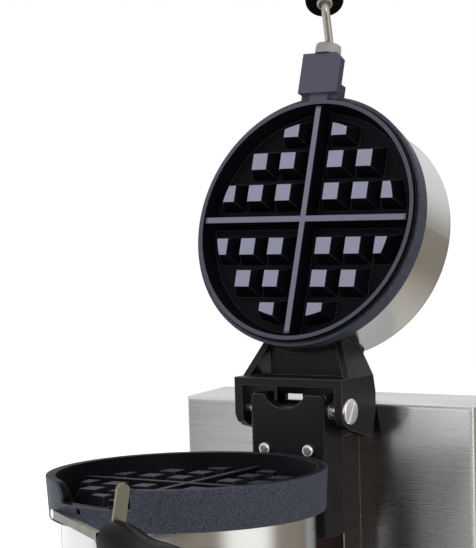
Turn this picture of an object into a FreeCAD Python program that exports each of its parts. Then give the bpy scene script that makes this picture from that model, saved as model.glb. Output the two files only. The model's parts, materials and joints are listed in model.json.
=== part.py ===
import FreeCAD, Part
import math
import os

# Single waffle baker: a fixed lower grid, a hinged upper grid and a control cabinet behind them.
# Millimetres. X is to the right, Y to the back, Z up. The model is drawn with its head open and
# the lower grid's centre at X = Y = 0; main() then moves it, so that the origin is on the table
# under the middle of the whole outline.

V = FreeCAD.Vector
X_AXIS = V(1, 0, 0)
Y_AXIS = V(0, 1, 0)
Z_AXIS = V(0, 0, 1)

# ---- driving sizes: the two grids ----
mould_r = 90.0            # radius of the waffle
mould_depth = 13.0        # depth of the grooves between the pyramids
mould_draft = 4.0         # how much the mould wall leans in down to its floor
pyramid_pitch = 25.0
pyramid_first = 21.0      # first pyramid's centre from the cross rib's centre line
pyramid_top = 12.8
pyramid_foot = 23.4
pyramid_round = 76.0      # circle that trims the pyramid tops
rib_w = 4.5
rib_foot_w = 9.0
casting_draft = 1.5
lower_rim_w = 6.5
lower_rim_rise = 9.0      # rim above the lower pyramid tops
lower_floor = 6.0
upper_ring_w = 3.0        # proud ring round the upper mould
upper_ring_rise = 4.5
upper_flange_w = 6.9
upper_floor = 4.5
close_gap = 0.5           # between the two grids when shut

# ---- driving sizes: notch and lug at the front ----
notch_start = 245.0       # degrees from +X
notch_end = 283.0
notch_depth = 13.5
notch_corner_left = 13.0  # radius of the rounding at the rim's cut ends
notch_corner_right = 4.0
lug_w = 34.2
lug_x = -1.4              # middle of the lug and of the rod
lug_near = 98.0           # distances from the head's centre
lug_far = 129.5
lug_t = 6.0
lug_proud = 3.0
lug_boss_r = 9.0
lug_chamfer = 5.0

wall_hole_r = 2.2         # blind tapped hole in the lower casting's wall
wall_hole_angle = 257.0
wall_hole_drop = 17.0
wall_hole_depth = 8.0

# ---- driving sizes: heights ----
foot_h = 16.0
base_h = 47.0
pan_h = 8.0
lower_shell_h = 62.0
hinge_rise = 27.0         # hinge axis above the parting plane
cabinet_over = 4.3        # cabinet top above the hinge axis, at the back
cabinet_slope = 2.7       # how much lower the top is at the front

# ---- driving sizes: sheet metal ----
sheet = 1.5
shell_t = 1.2
bend_r = 2.5
lower_shell_in = 2.5      # shells' radii, inside and outside the waffle's
upper_shell_out = 2.0
lower_shell_r = mould_r - lower_shell_in
upper_shell_r = mould_r + upper_shell_out
upper_shell_h = 48.5
upper_shell_edge = 5.0
base_half_w = 128.0
base_front = -122.0
cabinet_depth = 56.0
cabinet_gap = 40.0        # hinge axis to the cabinet's front face

# ---- driving sizes: hinge ----
hinge_behind = 50.0       # hinge axis behind the edge of the waffle
hinge_y = mould_r + hinge_behind
open_angle = 107.7
pin_r = 4.0
pin_head_r = 9.7
pin_head_t = 2.6
pin_slot_w = 2.2
pin_slot_depth = 1.2
pin_nut_t = 4.0
nut_recess = 4.4          # the pin's nut sits this deep in the left ear
nut_recess_r = 8.1
pin_fit = 0.05            # radial play of the pin in its bushes
bush_r = 5.6
bush_flange_r = 6.6
bush_flange_t = 1.0
ear_in = 40.5
ear_t = 6.5
bracket_half_w = 32.0
bracket_t = 4.5
bracket_front = 12.0      # front face ahead of the hinge axis
bracket_back = 14.6
bracket_over = 12.0
bracket_under = 94.0
bracket_notch_w = 36.0
bracket_notch_x = -1.8
bracket_notch_depth = 10.5
neck_top_under = 20.0     # neck's top below the hinge axis
neck_t = 2.0
neck_in = 0.5             # neck narrower than the bracket, each side
ledge_top = 24.0
ledge_t = 6.0
ledge_back = 21.0
web_t = 4.0
web_under = -2.5          # web's lower edge above the hinge axis
leg_t = 6.0
leg_front = 2.0           # legs' front edge behind the hinge axis, at the ledge
leg_top = 57.0            # legs are drawn this high, then cut by the head
leg_top_front = 16.5
leg_top_back = 36.0
saddle_half_w = 34.5
saddle_t = 5.0
saddle_low = 28.0         # saddle's span behind the mould face
saddle_high = 57.0
saddle_seat = 4.2         # spot faces for the screw heads, above the cover
saddle_screw_depths = (40.8, 51.6)
saddle_screw_turn = math.radians(12.0)
web_window = (-19.0, -3.5)      # right of the web's middle: its opening's sides
web_window_z = (4.9, 9.8)       # above the hinge axis
heel_gap = 0.5            # ear heel to the cabinet with the head open

# ---- driving sizes: handles ----
rod_r = 3.2
rod_depth = 4.5           # rod's axis behind the mould face, inside the lug
rod_sunk = 16.0
rod_knee_r = 139.5        # where the rod first bends, from the head's centre
rod_elbow_r = 163.0       # where it bends again, into the grip
rod_elbow_depth = -8.0
grip_rise = 21.4          # degrees the upper grip rises with the head shut
grip_swing = 26.8         # degrees it turns to the left
rod_in_grip = 60.0
rod_bend_r = 7.0
rod_nut_af = 19.0
rod_nut_t = 8.0
grip_r = 15.5
grip_len = 116.0
grip_start = 7.5          # along the rod from its second bend
ferrule_r = 6.4
ferrule_t = 3.5
lower_grip_turn = -32.0   # degrees from +X
lower_grip_dip = 2.0      # degrees below level
lower_grip_r = 14.0
lower_grip_len = 112.0
lower_grip_drop = 27.5    # axis below the parting plane, at its near end
arm_h = 5.4
arm_t = 4.0
arm_bolt_along = 5.0
arm_drop = 20.6           # arm's middle below the parting plane, at the casting
arm_start = 6.0           # arm's rounded end past the point where it touches the casting
arm_len = 90.0
tongue_t = 3.0
tongue_w = 8.6
tongue_root_w = 8.0
tongue_over = 8.0         # tongue's top above the parting plane
tongue_lean = 3.5
tongue_off = 1.0          # tongue's left edge left of the grip's axis
grip_across = 8.6        # grip's axis from the arm's inner face

# ---- driving sizes: screws, heating and controls ----
screw_r = 2.5
screw_head_r = 4.6
screw_head_t = 3.6
screw_fit = 0.1
nut_af = 8.0
nut_t = 3.2
element_r = 4.0
element_ring_r = 46.0
clamp_over = 12.0         # clamp plate past the heater ring
clamp_screw_r = 25.0
element_gap_angle = 24.0
plate_t = 2.5
insulation_t = 12.0
knob_r = 19.0
knob_h = 15.0
knob_x = 78.0
shaft_r = 3.0
rocker_x = -92.0
rocker_w = 12.0
rocker_h = 20.0
rocker_play = 0.3
lamp_r = 5.0
lamp_xs = (-40.0, -10.0)
foot_r = 13.0
foot_inset = 22.0
panel_screw_r = 1.8
inlet_x = 70.0

# ---- levels and places worked out from them ----
deck_z = foot_h + base_h
shell_top_z = deck_z + lower_shell_h
lower_casting_h = lower_rim_rise + mould_depth + lower_floor
part_z = shell_top_z + lower_casting_h
hinge_z = part_z + hinge_rise
face_z = part_z + close_gap
rim_r = mould_r + lower_rim_w
upper_casting_h = mould_depth + upper_floor
head_h = upper_casting_h + upper_shell_h
flange_r = mould_r + upper_flange_w
cabinet_front = hinge_y + cabinet_gap
cabinet_back = cabinet_front + cabinet_depth
cabinet_top = hinge_z + cabinet_over
panel_z = foot_h + base_h / 2
hinge_point = V(0, hinge_y, hinge_z)


# ---- helpers ----
def box(x0, x1, y0, y1, z0, z1):
    return Part.makeBox(x1 - x0, y1 - y0, z1 - z0, V(x0, y0, z0))


def rod_between(a, b, r):
    return Part.makeCylinder(r, (b - a).Length, a, b - a)


def disc(r, z0, z1, x=0.0, y=0.0):
    return Part.makeCylinder(r, z1 - z0, V(x, y, z0))


def tube(r_out, r_in, z0, z1):
    return disc(r_out, z0, z1).cut(disc(r_in, z0 - 1, z1 + 1))


def revolve(profile):
    """Solid of revolution about Z from (radius, height) points."""
    face = Part.Face(Part.makePolygon([V(r, 0, z) for r, z in profile + profile[:1]]))
    return face.revolve(V(0, 0, 0), Z_AXIS, 360)


def side_plate(points, x0, x1):
    """Plate with a (y, z) outline, from x0 to x1."""
    face = Part.Face(Part.makePolygon([V(x0, y, z) for y, z in points + points[:1]]))
    return face.extrude(V(x1 - x0, 0, 0))


def hexagon(af, start, direction, length):
    """Hexagonal prism of width af across flats along a direction."""
    corner_r = af / math.sqrt(3)
    ring = []
    for i in range(7):
        a = math.radians(60 * i)
        ring.append(V(corner_r * math.cos(a), corner_r * math.sin(a), 0))
    prism = Part.Face(Part.makePolygon(ring)).extrude(V(0, 0, length))
    prism.Placement = FreeCAD.Placement(start, FreeCAD.Rotation(Z_AXIS, direction))
    return prism


def frustum(half_top, half_foot, x, y, z_top, z_foot):
    """Square pyramid without its tip; z_foot may lie above or below z_top."""
    wires = []
    for half, z in ((half_foot, z_foot), (half_top, z_top)):
        corners = [(-half, -half), (half, -half), (half, half), (-half, half), (-half, -half)]
        wires.append(Part.makePolygon([V(x + u, y + v, z) for u, v in corners]))
    return Part.makeLoft(wires, True, True)


def rib(length, along_x, z_top, z_foot):
    """Tapered bar through the centre, along X or along Y."""
    wires = []
    for half_w, z in ((rib_foot_w / 2, z_foot), (rib_w / 2, z_top)):
        a, b = (length, half_w) if along_x else (half_w, length)
        corners = [(-a, -b), (a, -b), (a, b), (-a, b), (-a, -b)]
        wires.append(Part.makePolygon([V(u, v, z) for u, v in corners]))
    return Part.makeLoft(wires, True, True)


def pan_screw(seat, direction, length, r=screw_r, head_r=screw_head_r, head_t=screw_head_t):
    """Screw whose domed head sits on a seat; its shank runs along the direction."""
    shank = Part.makeCylinder(r, length, seat, direction)
    back = V(direction)
    back.multiply(-1.0)
    head = Part.makeCylinder(head_r, head_t, seat, back)
    rim_edges = [e for e in head.Edges if len(e.Vertexes) == 1]
    top_edge = max(rim_edges, key=lambda e: e.CenterOfMass.sub(seat).dot(back))
    head = head.makeFillet(head_t * 0.55, [top_edge])
    return head.fuse(shank).removeSplitter()


def bent_rod(points, bend, r):
    """Round rod through the points, bent to the radius bend at each inner one."""
    edges = []
    start = points[0]
    for before, corner, after in zip(points, points[1:], points[2:]):
        d_in = (before - corner).normalize()
        d_out = (after - corner).normalize()
        half = d_in.getAngle(d_out) / 2
        reach = bend / math.tan(half)
        middle = (d_in + d_out).normalize() * (bend / math.sin(half) - bend)
        a = corner + d_in * reach
        b = corner + d_out * reach
        edges += [Part.makeLine(start, a), Part.Arc(a, corner + middle, b).toShape()]
        start = b
    edges.append(Part.makeLine(start, points[-1]))
    circle = Part.makeCircle(r, points[0], points[1] - points[0])
    return Part.Wire(edges).makePipeShell([Part.Wire([circle])], True, True)


def polar(r, degrees, z=0.0):
    a = math.radians(degrees)
    return V(r * math.cos(a), r * math.sin(a), z)


def opened(shape):
    """Swing a piece of the head from shut to open about the hinge."""
    turned = shape.copy()
    turned.rotate(hinge_point, X_AXIS, -open_angle)
    return turned


def group(solids):
    return Part.makeCompound(solids)


def save(name, shape):
    shape.exportStep("parts/" + name + ".step")


# ---- grids ----
def waffle_relief(z_top, z_foot):
    """Cross ribs and pyramids, standing from the mould floor to the level z_top."""
    reach = mould_r - mould_draft / 2
    pieces = [rib(reach, True, z_top, z_foot), rib(reach, False, z_top, z_foot)]
    steps = [pyramid_first + pyramid_pitch * i for i in range(3)]
    sink = 0.5 if z_top > z_foot else -0.5
    trimmed = []
    for x in steps:
        for y in steps:
            near = math.hypot(x - pyramid_top / 2, y - pyramid_top / 2)
            if near > pyramid_round - 6:
                continue
            for sx in (-1, 1):
                for sy in (-1, 1):
                    pyramid = frustum(pyramid_top / 2, pyramid_foot / 2, sx * x, sy * y, z_top, z_foot - sink)
                    trimmed.append(pyramid)
    low, high = min(z_top, z_foot - sink), max(z_top, z_foot - sink)
    foot_r_round = pyramid_round + (pyramid_foot - pyramid_top) / 2
    if z_top > z_foot:
        limit = Part.makeCone(foot_r_round, pyramid_round, high - low, V(0, 0, low))
    else:
        limit = Part.makeCone(pyramid_round, foot_r_round, high - low, V(0, 0, low))
    body = trimmed[0].multiFuse(trimmed[1:]).common(limit)
    return body.multiFuse(pieces)


def lower_grid():
    """Fixed aluminium casting: mould, raised rim, front notch and handle boss."""
    bottom = part_z - lower_casting_h
    floor_z = bottom + lower_floor
    profile = [(0, bottom), (rim_r - casting_draft, bottom), (rim_r, part_z), (mould_r, part_z)]
    profile += [(mould_r - mould_draft, floor_z), (0, floor_z)]
    body = revolve(profile)
    body = body.fuse(waffle_relief(part_z - lower_rim_rise, floor_z))
    body = body.cut(front_notch())
    bolt = arm_bolt_line()
    body = body.cut(rod_between(bolt[0], bolt[1], screw_r + screw_fit))
    hole_z = part_z - wall_hole_drop
    body = body.cut(rod_between(polar(rim_r - wall_hole_depth, wall_hole_angle, hole_z),
                                polar(rim_r + 5, wall_hole_angle, hole_z), wall_hole_r))
    for p in casting_posts(clamp_screw_r):
        body = body.cut(disc(screw_r + screw_fit, bottom - 1, bottom + lower_floor - 1.5, p.x, p.y))
    return body.removeSplitter()


def front_notch():
    """Cut through the rim that shows the mould and clears the handle's tongue, with rounded ends."""
    sill = part_z - notch_depth
    inner = mould_r - mould_draft - 1
    outer = rim_r + 20
    span = notch_end - notch_start
    slab = ring_sector(inner, outer, notch_start, span, sill, part_z + 1)
    for side, angle, corner_r in ((-1, notch_start, notch_corner_left), (1, notch_end, notch_corner_right)):
        reach = math.degrees(corner_r / rim_r)
        corner = ring_sector(inner, outer, angle - reach if side < 0 else angle, reach,
                             part_z - corner_r, part_z + 1)
        axis_angle = angle + side * reach
        start = polar(inner - 5, axis_angle, part_z - corner_r)
        end = polar(outer + 5, axis_angle, part_z - corner_r)
        slab = slab.fuse(corner.cut(rod_between(start, end, corner_r)))
    return slab


def ring_sector(r_in, r_out, start_angle, span, z0, z1):
    """Part of a flat ring, from start_angle through span degrees."""
    face = Part.Face(Part.makePolygon([V(r_in, 0, z0), V(r_out, 0, z0), V(r_out, 0, z1), V(r_in, 0, z1),
                                       V(r_in, 0, z0)]))
    sector = face.revolve(V(0, 0, 0), Z_AXIS, span)
    sector.rotate(V(0, 0, 0), Z_AXIS, start_angle)
    return sector


def casting_posts(r):
    return [polar(r, a) for a in (45, 135, 225, 315)]


def upper_grid():
    """Hinged aluminium casting, drawn shut: mould facing down, proud ring, flange, lug."""
    back = face_z + upper_casting_h
    floor_z = face_z + mould_depth
    step_z = face_z + upper_ring_rise
    ring_r = mould_r + upper_ring_w
    profile = [(mould_r, face_z), (ring_r, face_z), (ring_r, step_z), (flange_r, step_z)]
    profile += [(flange_r - casting_draft, back), (0, back), (0, floor_z), (mould_r - mould_draft, floor_z)]
    body = revolve(profile)
    body = body.fuse(waffle_relief(face_z, floor_z))
    body = body.fuse(upper_lug())
    for p in casting_posts(clamp_screw_r):
        body = body.cut(disc(screw_r + screw_fit, floor_z + 1.5, back + 1, p.x, p.y))
    return body.removeSplitter()


def upper_lug():
    """Square plate in front of the rim, with a boss behind it for the handle rod."""
    x0 = lug_x - lug_w / 2
    x1 = lug_x + lug_w / 2
    z0 = face_z - lug_proud
    corners = [(x0, -lug_near), (x0, -lug_far), (x1 - lug_chamfer, -lug_far), (x1, -lug_far + lug_chamfer)]
    corners += [(x1, -lug_near), (x0, -lug_near)]
    plate = Part.Face(Part.makePolygon([V(x, y, z0) for x, y in corners])).extrude(V(0, 0, lug_t))
    neck = box(x0 + 1, x1 - 1, -lug_near - 8, -mould_r - 1, face_z + 1.5, face_z + 11)
    z = face_z + rod_depth
    boss = rod_between(V(lug_x, -mould_r, z), V(lug_x, -lug_far, z), lug_boss_r)
    boss = boss.cut(box(x0, x1, -lug_far - 1, -mould_r + 1, face_z - lug_boss_r, face_z))
    lug = plate.multiFuse([neck, boss])
    lug = lug.cut(disc(mould_r + upper_ring_w, face_z - 5, face_z + upper_casting_h))
    return lug.cut(rod_between(V(lug_x, -lug_far - 1, z), V(lug_x, -lug_far + rod_sunk, z), rod_r))


# ---- upper handle ----
grip_up = math.radians(grip_rise)
grip_left = math.radians(grip_swing)
grip_axis = V(-math.sin(grip_left) * math.cos(grip_up),
              -math.cos(grip_left) * math.cos(grip_up),
              math.sin(grip_up))
rod_knee = V(lug_x, -rod_knee_r, face_z + rod_depth)
rod_elbow = V(lug_x, -rod_elbow_r, face_z + rod_elbow_depth)
grip_seat = rod_elbow + grip_axis * grip_start


def handle_rod():
    """Steel rod, bent twice, from inside the lug to inside the grip."""
    root = V(lug_x, -lug_far + rod_sunk, face_z + rod_depth)
    tip = rod_elbow + grip_axis * rod_in_grip
    return bent_rod([root, rod_knee, rod_elbow, tip], rod_bend_r, rod_r)


def rod_nut():
    """Chamfered hexagon nut that locks the rod against the lug."""
    start = V(lug_x, -lug_far, face_z + rod_depth)
    out = V(0, -1, 0)
    nut = hexagon(rod_nut_af, start, out, rod_nut_t)
    chamfer = Part.makeCone(rod_nut_af * 0.66, rod_nut_af * 0.49, rod_nut_t, start, out)
    return nut.common(chamfer).cut(rod_between(start - out, start + out * (rod_nut_t + 1), rod_r))


def grip_shape(start, direction, r, length, bore_r, bore_len):
    """Moulded grip about its own axis: flat near end, slight waist, rounded tip."""
    waist = r * 0.86
    edge = 2.0
    points = [V(r * 0.94, 0, edge), V(r * 0.97, 0, length * 0.1), V(waist, 0, length * 0.46)]
    points += [V(r, 0, length * 0.80), V(r * 0.74, 0, length * 0.96), V(r * 0.3, 0, length)]
    curve = Part.BSplineCurve()
    curve.interpolate(points)
    near = V(r * 0.94 - edge, 0, 0)
    middle = points[0] + V(-edge * 0.3, 0, -edge * 0.7)
    edges = [Part.makeLine(V(0, 0, 0), near), Part.Arc(near, middle, points[0]).toShape(), curve.toShape()]
    edges += [Part.makeLine(points[-1], V(0, 0, length)), Part.makeLine(V(0, 0, length), V(0, 0, 0))]
    grip = Part.Face(Part.Wire(edges)).revolve(V(0, 0, 0), Z_AXIS, 360)
    grip = grip.cut(disc(bore_r, -1, bore_len))
    grip.Placement = FreeCAD.Placement(start, FreeCAD.Rotation(Z_AXIS, direction))
    return grip


def upper_grip():
    return grip_shape(grip_seat, grip_axis, grip_r, grip_len, rod_r, rod_in_grip - grip_start + 1)


def grip_ferrule():
    """Bright collar on the rod, seated on the grip's end."""
    start = grip_seat - grip_axis * ferrule_t
    ring = rod_between(start, grip_seat, ferrule_r)
    near_edges = [e for e in ring.Edges if len(e.Vertexes) == 1 and (e.CenterOfMass - start).Length < 0.5]
    ring = ring.makeFillet(ferrule_t * 0.7, near_edges)
    return ring.cut(rod_between(start - grip_axis, grip_seat + grip_axis, rod_r))


# ---- lower handle ----
turn = math.radians(lower_grip_turn)
dip = math.radians(lower_grip_dip)
grip_axis_z = part_z - lower_grip_drop + arm_len * math.sin(dip)
grip_dir = V(math.cos(turn) * math.cos(dip), math.sin(turn) * math.cos(dip), -math.sin(dip))
side_dir = V(-math.sin(turn), math.cos(turn), 0)          # towards the casting
arm_angle = lower_grip_turn - 90.0                        # where the arm touches the casting
arm_touch_r = rim_r - casting_draft * arm_drop / lower_casting_h + 0.2


def handle_point(along, across, z):
    """Point measured from where the arm's inner face touches the casting."""
    p = polar(arm_touch_r, arm_angle, z)
    return p + grip_dir * along + side_dir * across


def arm_bolt_line():
    z = part_z - arm_drop
    return handle_point(arm_bolt_along, -arm_t - 1, z), handle_point(arm_bolt_along, 9, z)


def lower_handle_bracket():
    """Steel arm bolted to the side of the casting, ending in an upright tongue."""
    z0 = part_z - arm_drop - arm_h / 2
    strap_side = []
    for along, z in ((arm_start, z0), (arm_len, z0), (arm_len, z0 + arm_h), (arm_start, z0 + arm_h)):
        strap_side.append(handle_point(along, -arm_t, z))
    strap = Part.Face(Part.makePolygon(strap_side + strap_side[:1])).extrude(side_dir * arm_t)
    mid = z0 + arm_h / 2
    round_end = rod_between(handle_point(arm_start, -arm_t, mid), handle_point(arm_start, 0, mid), arm_h / 2)
    bracket = strap.multiFuse([round_end, tongue_plate()])
    bolt = arm_bolt_line()
    bracket = bracket.cut(rod_between(bolt[0], bolt[1], screw_r + screw_fit))
    bracket = bracket.cut(arm_bolt_head(screw_fit))
    stud = grip_bolt_line()
    bracket = bracket.cut(rod_between(stud[0], stud[1], screw_r + screw_fit))
    grip_seat_point = handle_point(arm_len, grip_across, grip_axis_z)
    grip_room = Part.makeCylinder(2 * lower_grip_r, lower_grip_len, grip_seat_point, grip_dir)
    bolt_seat = handle_point(arm_len - tongue_t, grip_across, grip_axis_z)
    bracket = bracket.cut(rod_between(bolt_seat - grip_dir * 8, bolt_seat, screw_head_r + 1))
    head_room = disc(flange_r + 0.6, part_z - 0.6, part_z + 40)
    lug_room = box(lug_x - lug_w / 2 - 1, lug_x + lug_w / 2 + 0.8, -lug_far - 0.8, -mould_r,
                   face_z - lug_proud - 0.6, part_z + 40)
    return bracket.cut(grip_room).cut(head_room).cut(lug_room).removeSplitter()


def arm_bolt_head(extra):
    """Countersunk head, flush with the arm's outer face."""
    seat = arm_bolt_line()[0] + side_dir
    return Part.makeCone(screw_head_r * 0.7 + extra, screw_r + extra, screw_r * 0.7, seat, side_dir)


def tongue_plate():
    """Upright plate across the arm's end; its outline is drawn in (across, height)."""
    dropped = arm_len * math.sin(dip)
    top = part_z + tongue_over + dropped
    axis_z = part_z - lower_grip_drop + dropped
    arm_z = part_z - arm_drop
    near = arm_len - tongue_t
    foot_z = axis_z - lower_grip_r + 2
    left = grip_across - tongue_off
    outline = [(-arm_t, arm_z - arm_h / 2), (-arm_t, arm_z + arm_h / 2)]
    outline += [(left - 6, arm_z + arm_h / 2), (left, part_z - 13)]
    outline += [(left + tongue_lean, top - tongue_w / 2)]
    crown = (left + tongue_lean + tongue_w / 2, top)
    right = [(left + tongue_lean + tongue_w, top - tongue_w / 2), (left + tongue_root_w, part_z - 17)]
    right += [(left + tongue_root_w, foot_z), (grip_across - 7, foot_z)]
    edges = []
    points = [handle_point(near, a, z) for a, z in outline]
    for p, q in zip(points[:-1], points[1:]):
        edges.append(Part.makeLine(p, q))
    points_right = [handle_point(near, a, z) for a, z in right]
    edges.append(Part.Arc(points[-1], handle_point(near, *crown), points_right[0]).toShape())
    for p, q in zip(points_right, points_right[1:] + points[:1]):
        edges.append(Part.makeLine(p, q))
    return Part.Face(Part.Wire(edges)).extrude(grip_dir * tongue_t)


def grip_bolt_line():
    z = part_z - lower_grip_drop + arm_len * math.sin(dip)
    return handle_point(arm_len - tongue_t - 1, grip_across, z), handle_point(arm_len + 60, grip_across, z)


def lower_grip():
    z = part_z - lower_grip_drop + arm_len * math.sin(dip)
    start = handle_point(arm_len, grip_across, z)
    return grip_shape(start, grip_dir, lower_grip_r, lower_grip_len, screw_r, 40)


def lower_grip_bolt():
    z = part_z - lower_grip_drop + arm_len * math.sin(dip)
    seat = handle_point(arm_len - tongue_t, grip_across, z)
    return pan_screw(seat, grip_dir, tongue_t + 38, head_t=2.6)


def lower_arm_bolt():
    seat = arm_bolt_line()[0] + side_dir
    return arm_bolt_head(0).fuse(Part.makeCylinder(screw_r, arm_t + 7, seat, side_dir)).removeSplitter()


# ---- heating, shells ----
def element(z):
    """Tubular heater bent to an open ring."""
    gap = element_gap_angle
    start = polar(element_ring_r, 90 + gap, z)
    end = polar(element_ring_r, 90 - gap, z)
    path = Part.Arc(start, polar(element_ring_r, 270, z), end).toShape()
    circle = Part.makeCircle(element_r, start, polar(1, 180 + gap))
    ring = Part.Wire([path]).makePipeShell([Part.Wire([circle])], True, True)
    return ring


def clamp_plate(z0, z1, side):
    """Steel disc that presses the heater to the casting; grooved for it."""
    plate = disc(element_ring_r + clamp_over, z0, z1).cut(disc(12, z0 - 1, z1 + 1))
    for p in casting_posts(clamp_screw_r):
        plate = plate.cut(disc(screw_r + screw_fit, z0 - 1, z1 + 1, p.x, p.y))
        post = disc(8, min(z0, z0 + side * 2 * element_r), max(z1, z1 + side * 2 * element_r), p.x, p.y)
        post = post.cut(disc(screw_r + screw_fit, z0 - 20, z1 + 20, p.x, p.y))
        plate = plate.fuse(post)
    return plate.removeSplitter()


def heater_screws(z_seat, towards, bite):
    """Clamp screws that reach bite deep into the casting."""
    screws = []
    for p in casting_posts(clamp_screw_r):
        screws.append(pan_screw(V(p.x, p.y, z_seat), Z_AXIS * towards, plate_t + 2 * element_r + bite))
    return group(screws)


def insulation_disc(z0, r):
    """Mineral wool disc behind the heater, holed for the clamp screws."""
    wool = disc(r, z0, z0 + insulation_t)
    for p in casting_posts(clamp_screw_r):
        wool = wool.cut(disc(screw_head_r + 1, z0 - 1, z0 + insulation_t + 1, p.x, p.y))
    return wool


def lower_shell():
    """Stainless band between the deck and the casting, turned in at its foot."""
    band = tube(lower_shell_r, lower_shell_r - shell_t, deck_z, shell_top_z)
    foot = tube(lower_shell_r - 0.5, lower_shell_r - 16, deck_z, deck_z + shell_t)
    shell = band.fuse(foot)
    for p in shell_screw_places():
        shell = shell.cut(disc(screw_r + screw_fit, deck_z - 1, deck_z + shell_t + 1, p.x, p.y))
    return shell.removeSplitter()


def shell_screw_places():
    return [polar(lower_shell_r - 9, a) for a in (45, 135, 225, 315)]


def shell_screws():
    return group([pan_screw(V(p.x, p.y, deck_z + shell_t), V(0, 0, -1), shell_t + sheet + 4)
                  for p in shell_screw_places()])


def lower_skirt_studs():
    """Spacers that carry the casting on the deck, inside the band."""
    posts = []
    for a in (20, 110, 200, 290):
        p = polar(lower_shell_r - 6, a)
        posts.append(disc(3.5, deck_z + shell_t, shell_top_z, p.x, p.y))
    return group(posts)


def upper_cover():
    """Spun stainless cup over the head, drawn shut."""
    z0 = face_z + upper_casting_h
    z1 = z0 + upper_shell_h
    cup = disc(upper_shell_r, z0, z1)
    top_edges = [e for e in cup.Edges if len(e.Vertexes) == 1 and e.CenterOfMass.z > z1 - 0.1]
    cup = cup.makeFillet(upper_shell_edge, top_edges)
    hollow = disc(upper_shell_r - shell_t, z0 - 1, z1 - shell_t)
    inner_edges = [e for e in hollow.Edges if len(e.Vertexes) == 1 and e.CenterOfMass.z > z0]
    hollow = hollow.makeFillet(upper_shell_edge - shell_t, inner_edges)
    cup = cup.cut(hollow)
    for start, d in saddle_screw_lines():
        cup = cup.cut(rod_between(start - d * 5, start + d * 5, screw_r + screw_fit))
    return cup


def saddle_screw_lines():
    """(start, direction) on the shut head's cover, where the hinge casting is bolted on."""
    lines = []
    for side in (-1, 1):
        for depth in saddle_screw_depths:
            d = V(side * math.sin(saddle_screw_turn), math.cos(saddle_screw_turn), 0)
            lines.append((d * upper_shell_r + V(0, 0, face_z + depth), d))
    return lines


def saddle_plate():
    """Curved steel plate inside the cover, tapped for the hinge casting's screws, with feet on the grid."""
    z0 = face_z + upper_casting_h
    r = upper_shell_r - shell_t - 0.02
    half = math.degrees(saddle_screw_turn) + 8
    plate = ring_sector(r - 4, r, 90 - half, 2 * half, z0, face_z + saddle_high + 4)
    foot = ring_sector(r - 16, r, 90 - half, 2 * half, z0, z0 + 3)
    plate = plate.fuse(foot)
    for start, d in saddle_screw_lines():
        plate = plate.cut(rod_between(start - d * 20, start + d, screw_r))
    return plate.removeSplitter()


# ---- head hinge ----
def ear_outline():
    """(y, z) outline of an ear, with the head open."""
    heel = cabinet_gap - heel_gap
    y0 = hinge_y
    z0 = hinge_z
    front = -(bracket_front - 2.0)
    low_back = heel * 0.80
    points = [(front, ledge_top), (front, -4), (front + 3, -9.5), (0, -13.5), (low_back, -heel * 0.57)]
    points += [(heel - 2, -8), (heel, 0), (heel, 12), (heel - 3, ledge_top)]
    return [(y0 + y, z0 + z) for y, z in points]


def upper_leg(side):
    """Leg from the ledge up to the head's cover, leaning inward."""
    ear_out = ear_in + ear_t
    heel = cabinet_gap - heel_gap
    wires = []
    for outer, y0, y1, z in ((ear_out, leg_front, heel - 3, ledge_top),
                             (saddle_half_w - 4, leg_top_front, leg_top_back, leg_top)):
        corners = [(outer - leg_t, y0), (outer, y0), (outer, y1), (outer - leg_t, y1), (outer - leg_t, y0)]
        wires.append(Part.makePolygon([V(side * x, hinge_y + y, hinge_z + z) for x, y in corners]))
    return Part.makeLoft(wires, True, True)


def saddle():
    """Curved foot of the hinge casting that fits the cover, drawn shut."""
    r = upper_shell_r
    pad = box(-saddle_half_w, saddle_half_w, r * 0.8, r + saddle_t, face_z + saddle_low, face_z + saddle_high)
    pad = pad.common(disc(r + saddle_t, face_z, face_z + head_h))
    return pad


def head_hinge_casting():
    """Black clevis: two ears on the pin, a ledge and a web between them, legs and a saddle on the head."""
    ear_out = ear_in + ear_t
    pieces = []
    for side in (-1, 1):
        pieces.append(side_plate(ear_outline(), side * ear_in, side * ear_out))
        pieces.append(upper_leg(side))
    ledge_front = hinge_y - (bracket_front - 2.0)
    ledge_z = hinge_z + ledge_top
    web_y = hinge_y + ledge_back
    pieces.append(box(-ear_out, ear_out, ledge_front, web_y, ledge_z - ledge_t, ledge_z))
    inner = bracket_half_w - bracket_t - 1.2
    pieces.append(box(-inner, inner, web_y - web_t, web_y, hinge_z + web_under, ledge_z))
    window = box(web_window[0], web_window[1], web_y - web_t - 1, web_y + 1,
                 hinge_z + web_window_z[0], hinge_z + web_window_z[1])
    web = [(web_y - web_t, ledge_z - 1), (web_y - web_t, hinge_z + leg_top), (web_y, hinge_z + leg_top)]
    web += [(web_y, ledge_z - 1)]
    wide = saddle_half_w
    pieces.append(side_plate(web, -wide + leg_t / 2, wide - leg_t / 2))
    body = opened(saddle()).multiFuse(pieces).cut(window)
    room = disc(flange_r + 0.3, face_z - 5, face_z + upper_casting_h + 0.3)
    room = room.fuse(disc(upper_shell_r, face_z, face_z + head_h))
    body = body.cut(opened(room))
    for start, d in saddle_screw_lines():
        seat = start + d * saddle_seat
        hole = rod_between(start - d * 5, seat + d, screw_r + screw_fit)
        body = body.cut(opened(hole.fuse(rod_between(seat, seat + d * 8, screw_head_r + 0.3))))
    a = V(-ear_out - 1, hinge_y, hinge_z)
    b = V(ear_out + 1, hinge_y, hinge_z)
    body = body.cut(rod_between(a, b, pin_r))
    body = body.cut(rod_between(a, V(nut_recess - ear_out, hinge_y, hinge_z), nut_recess_r))
    return body.removeSplitter()


def saddle_screws():
    screws = []
    for start, d in saddle_screw_lines():
        screws.append(pan_screw(start + d * saddle_seat, d * -1.0, saddle_seat + shell_t + 4))
    return group(screws)


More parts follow.
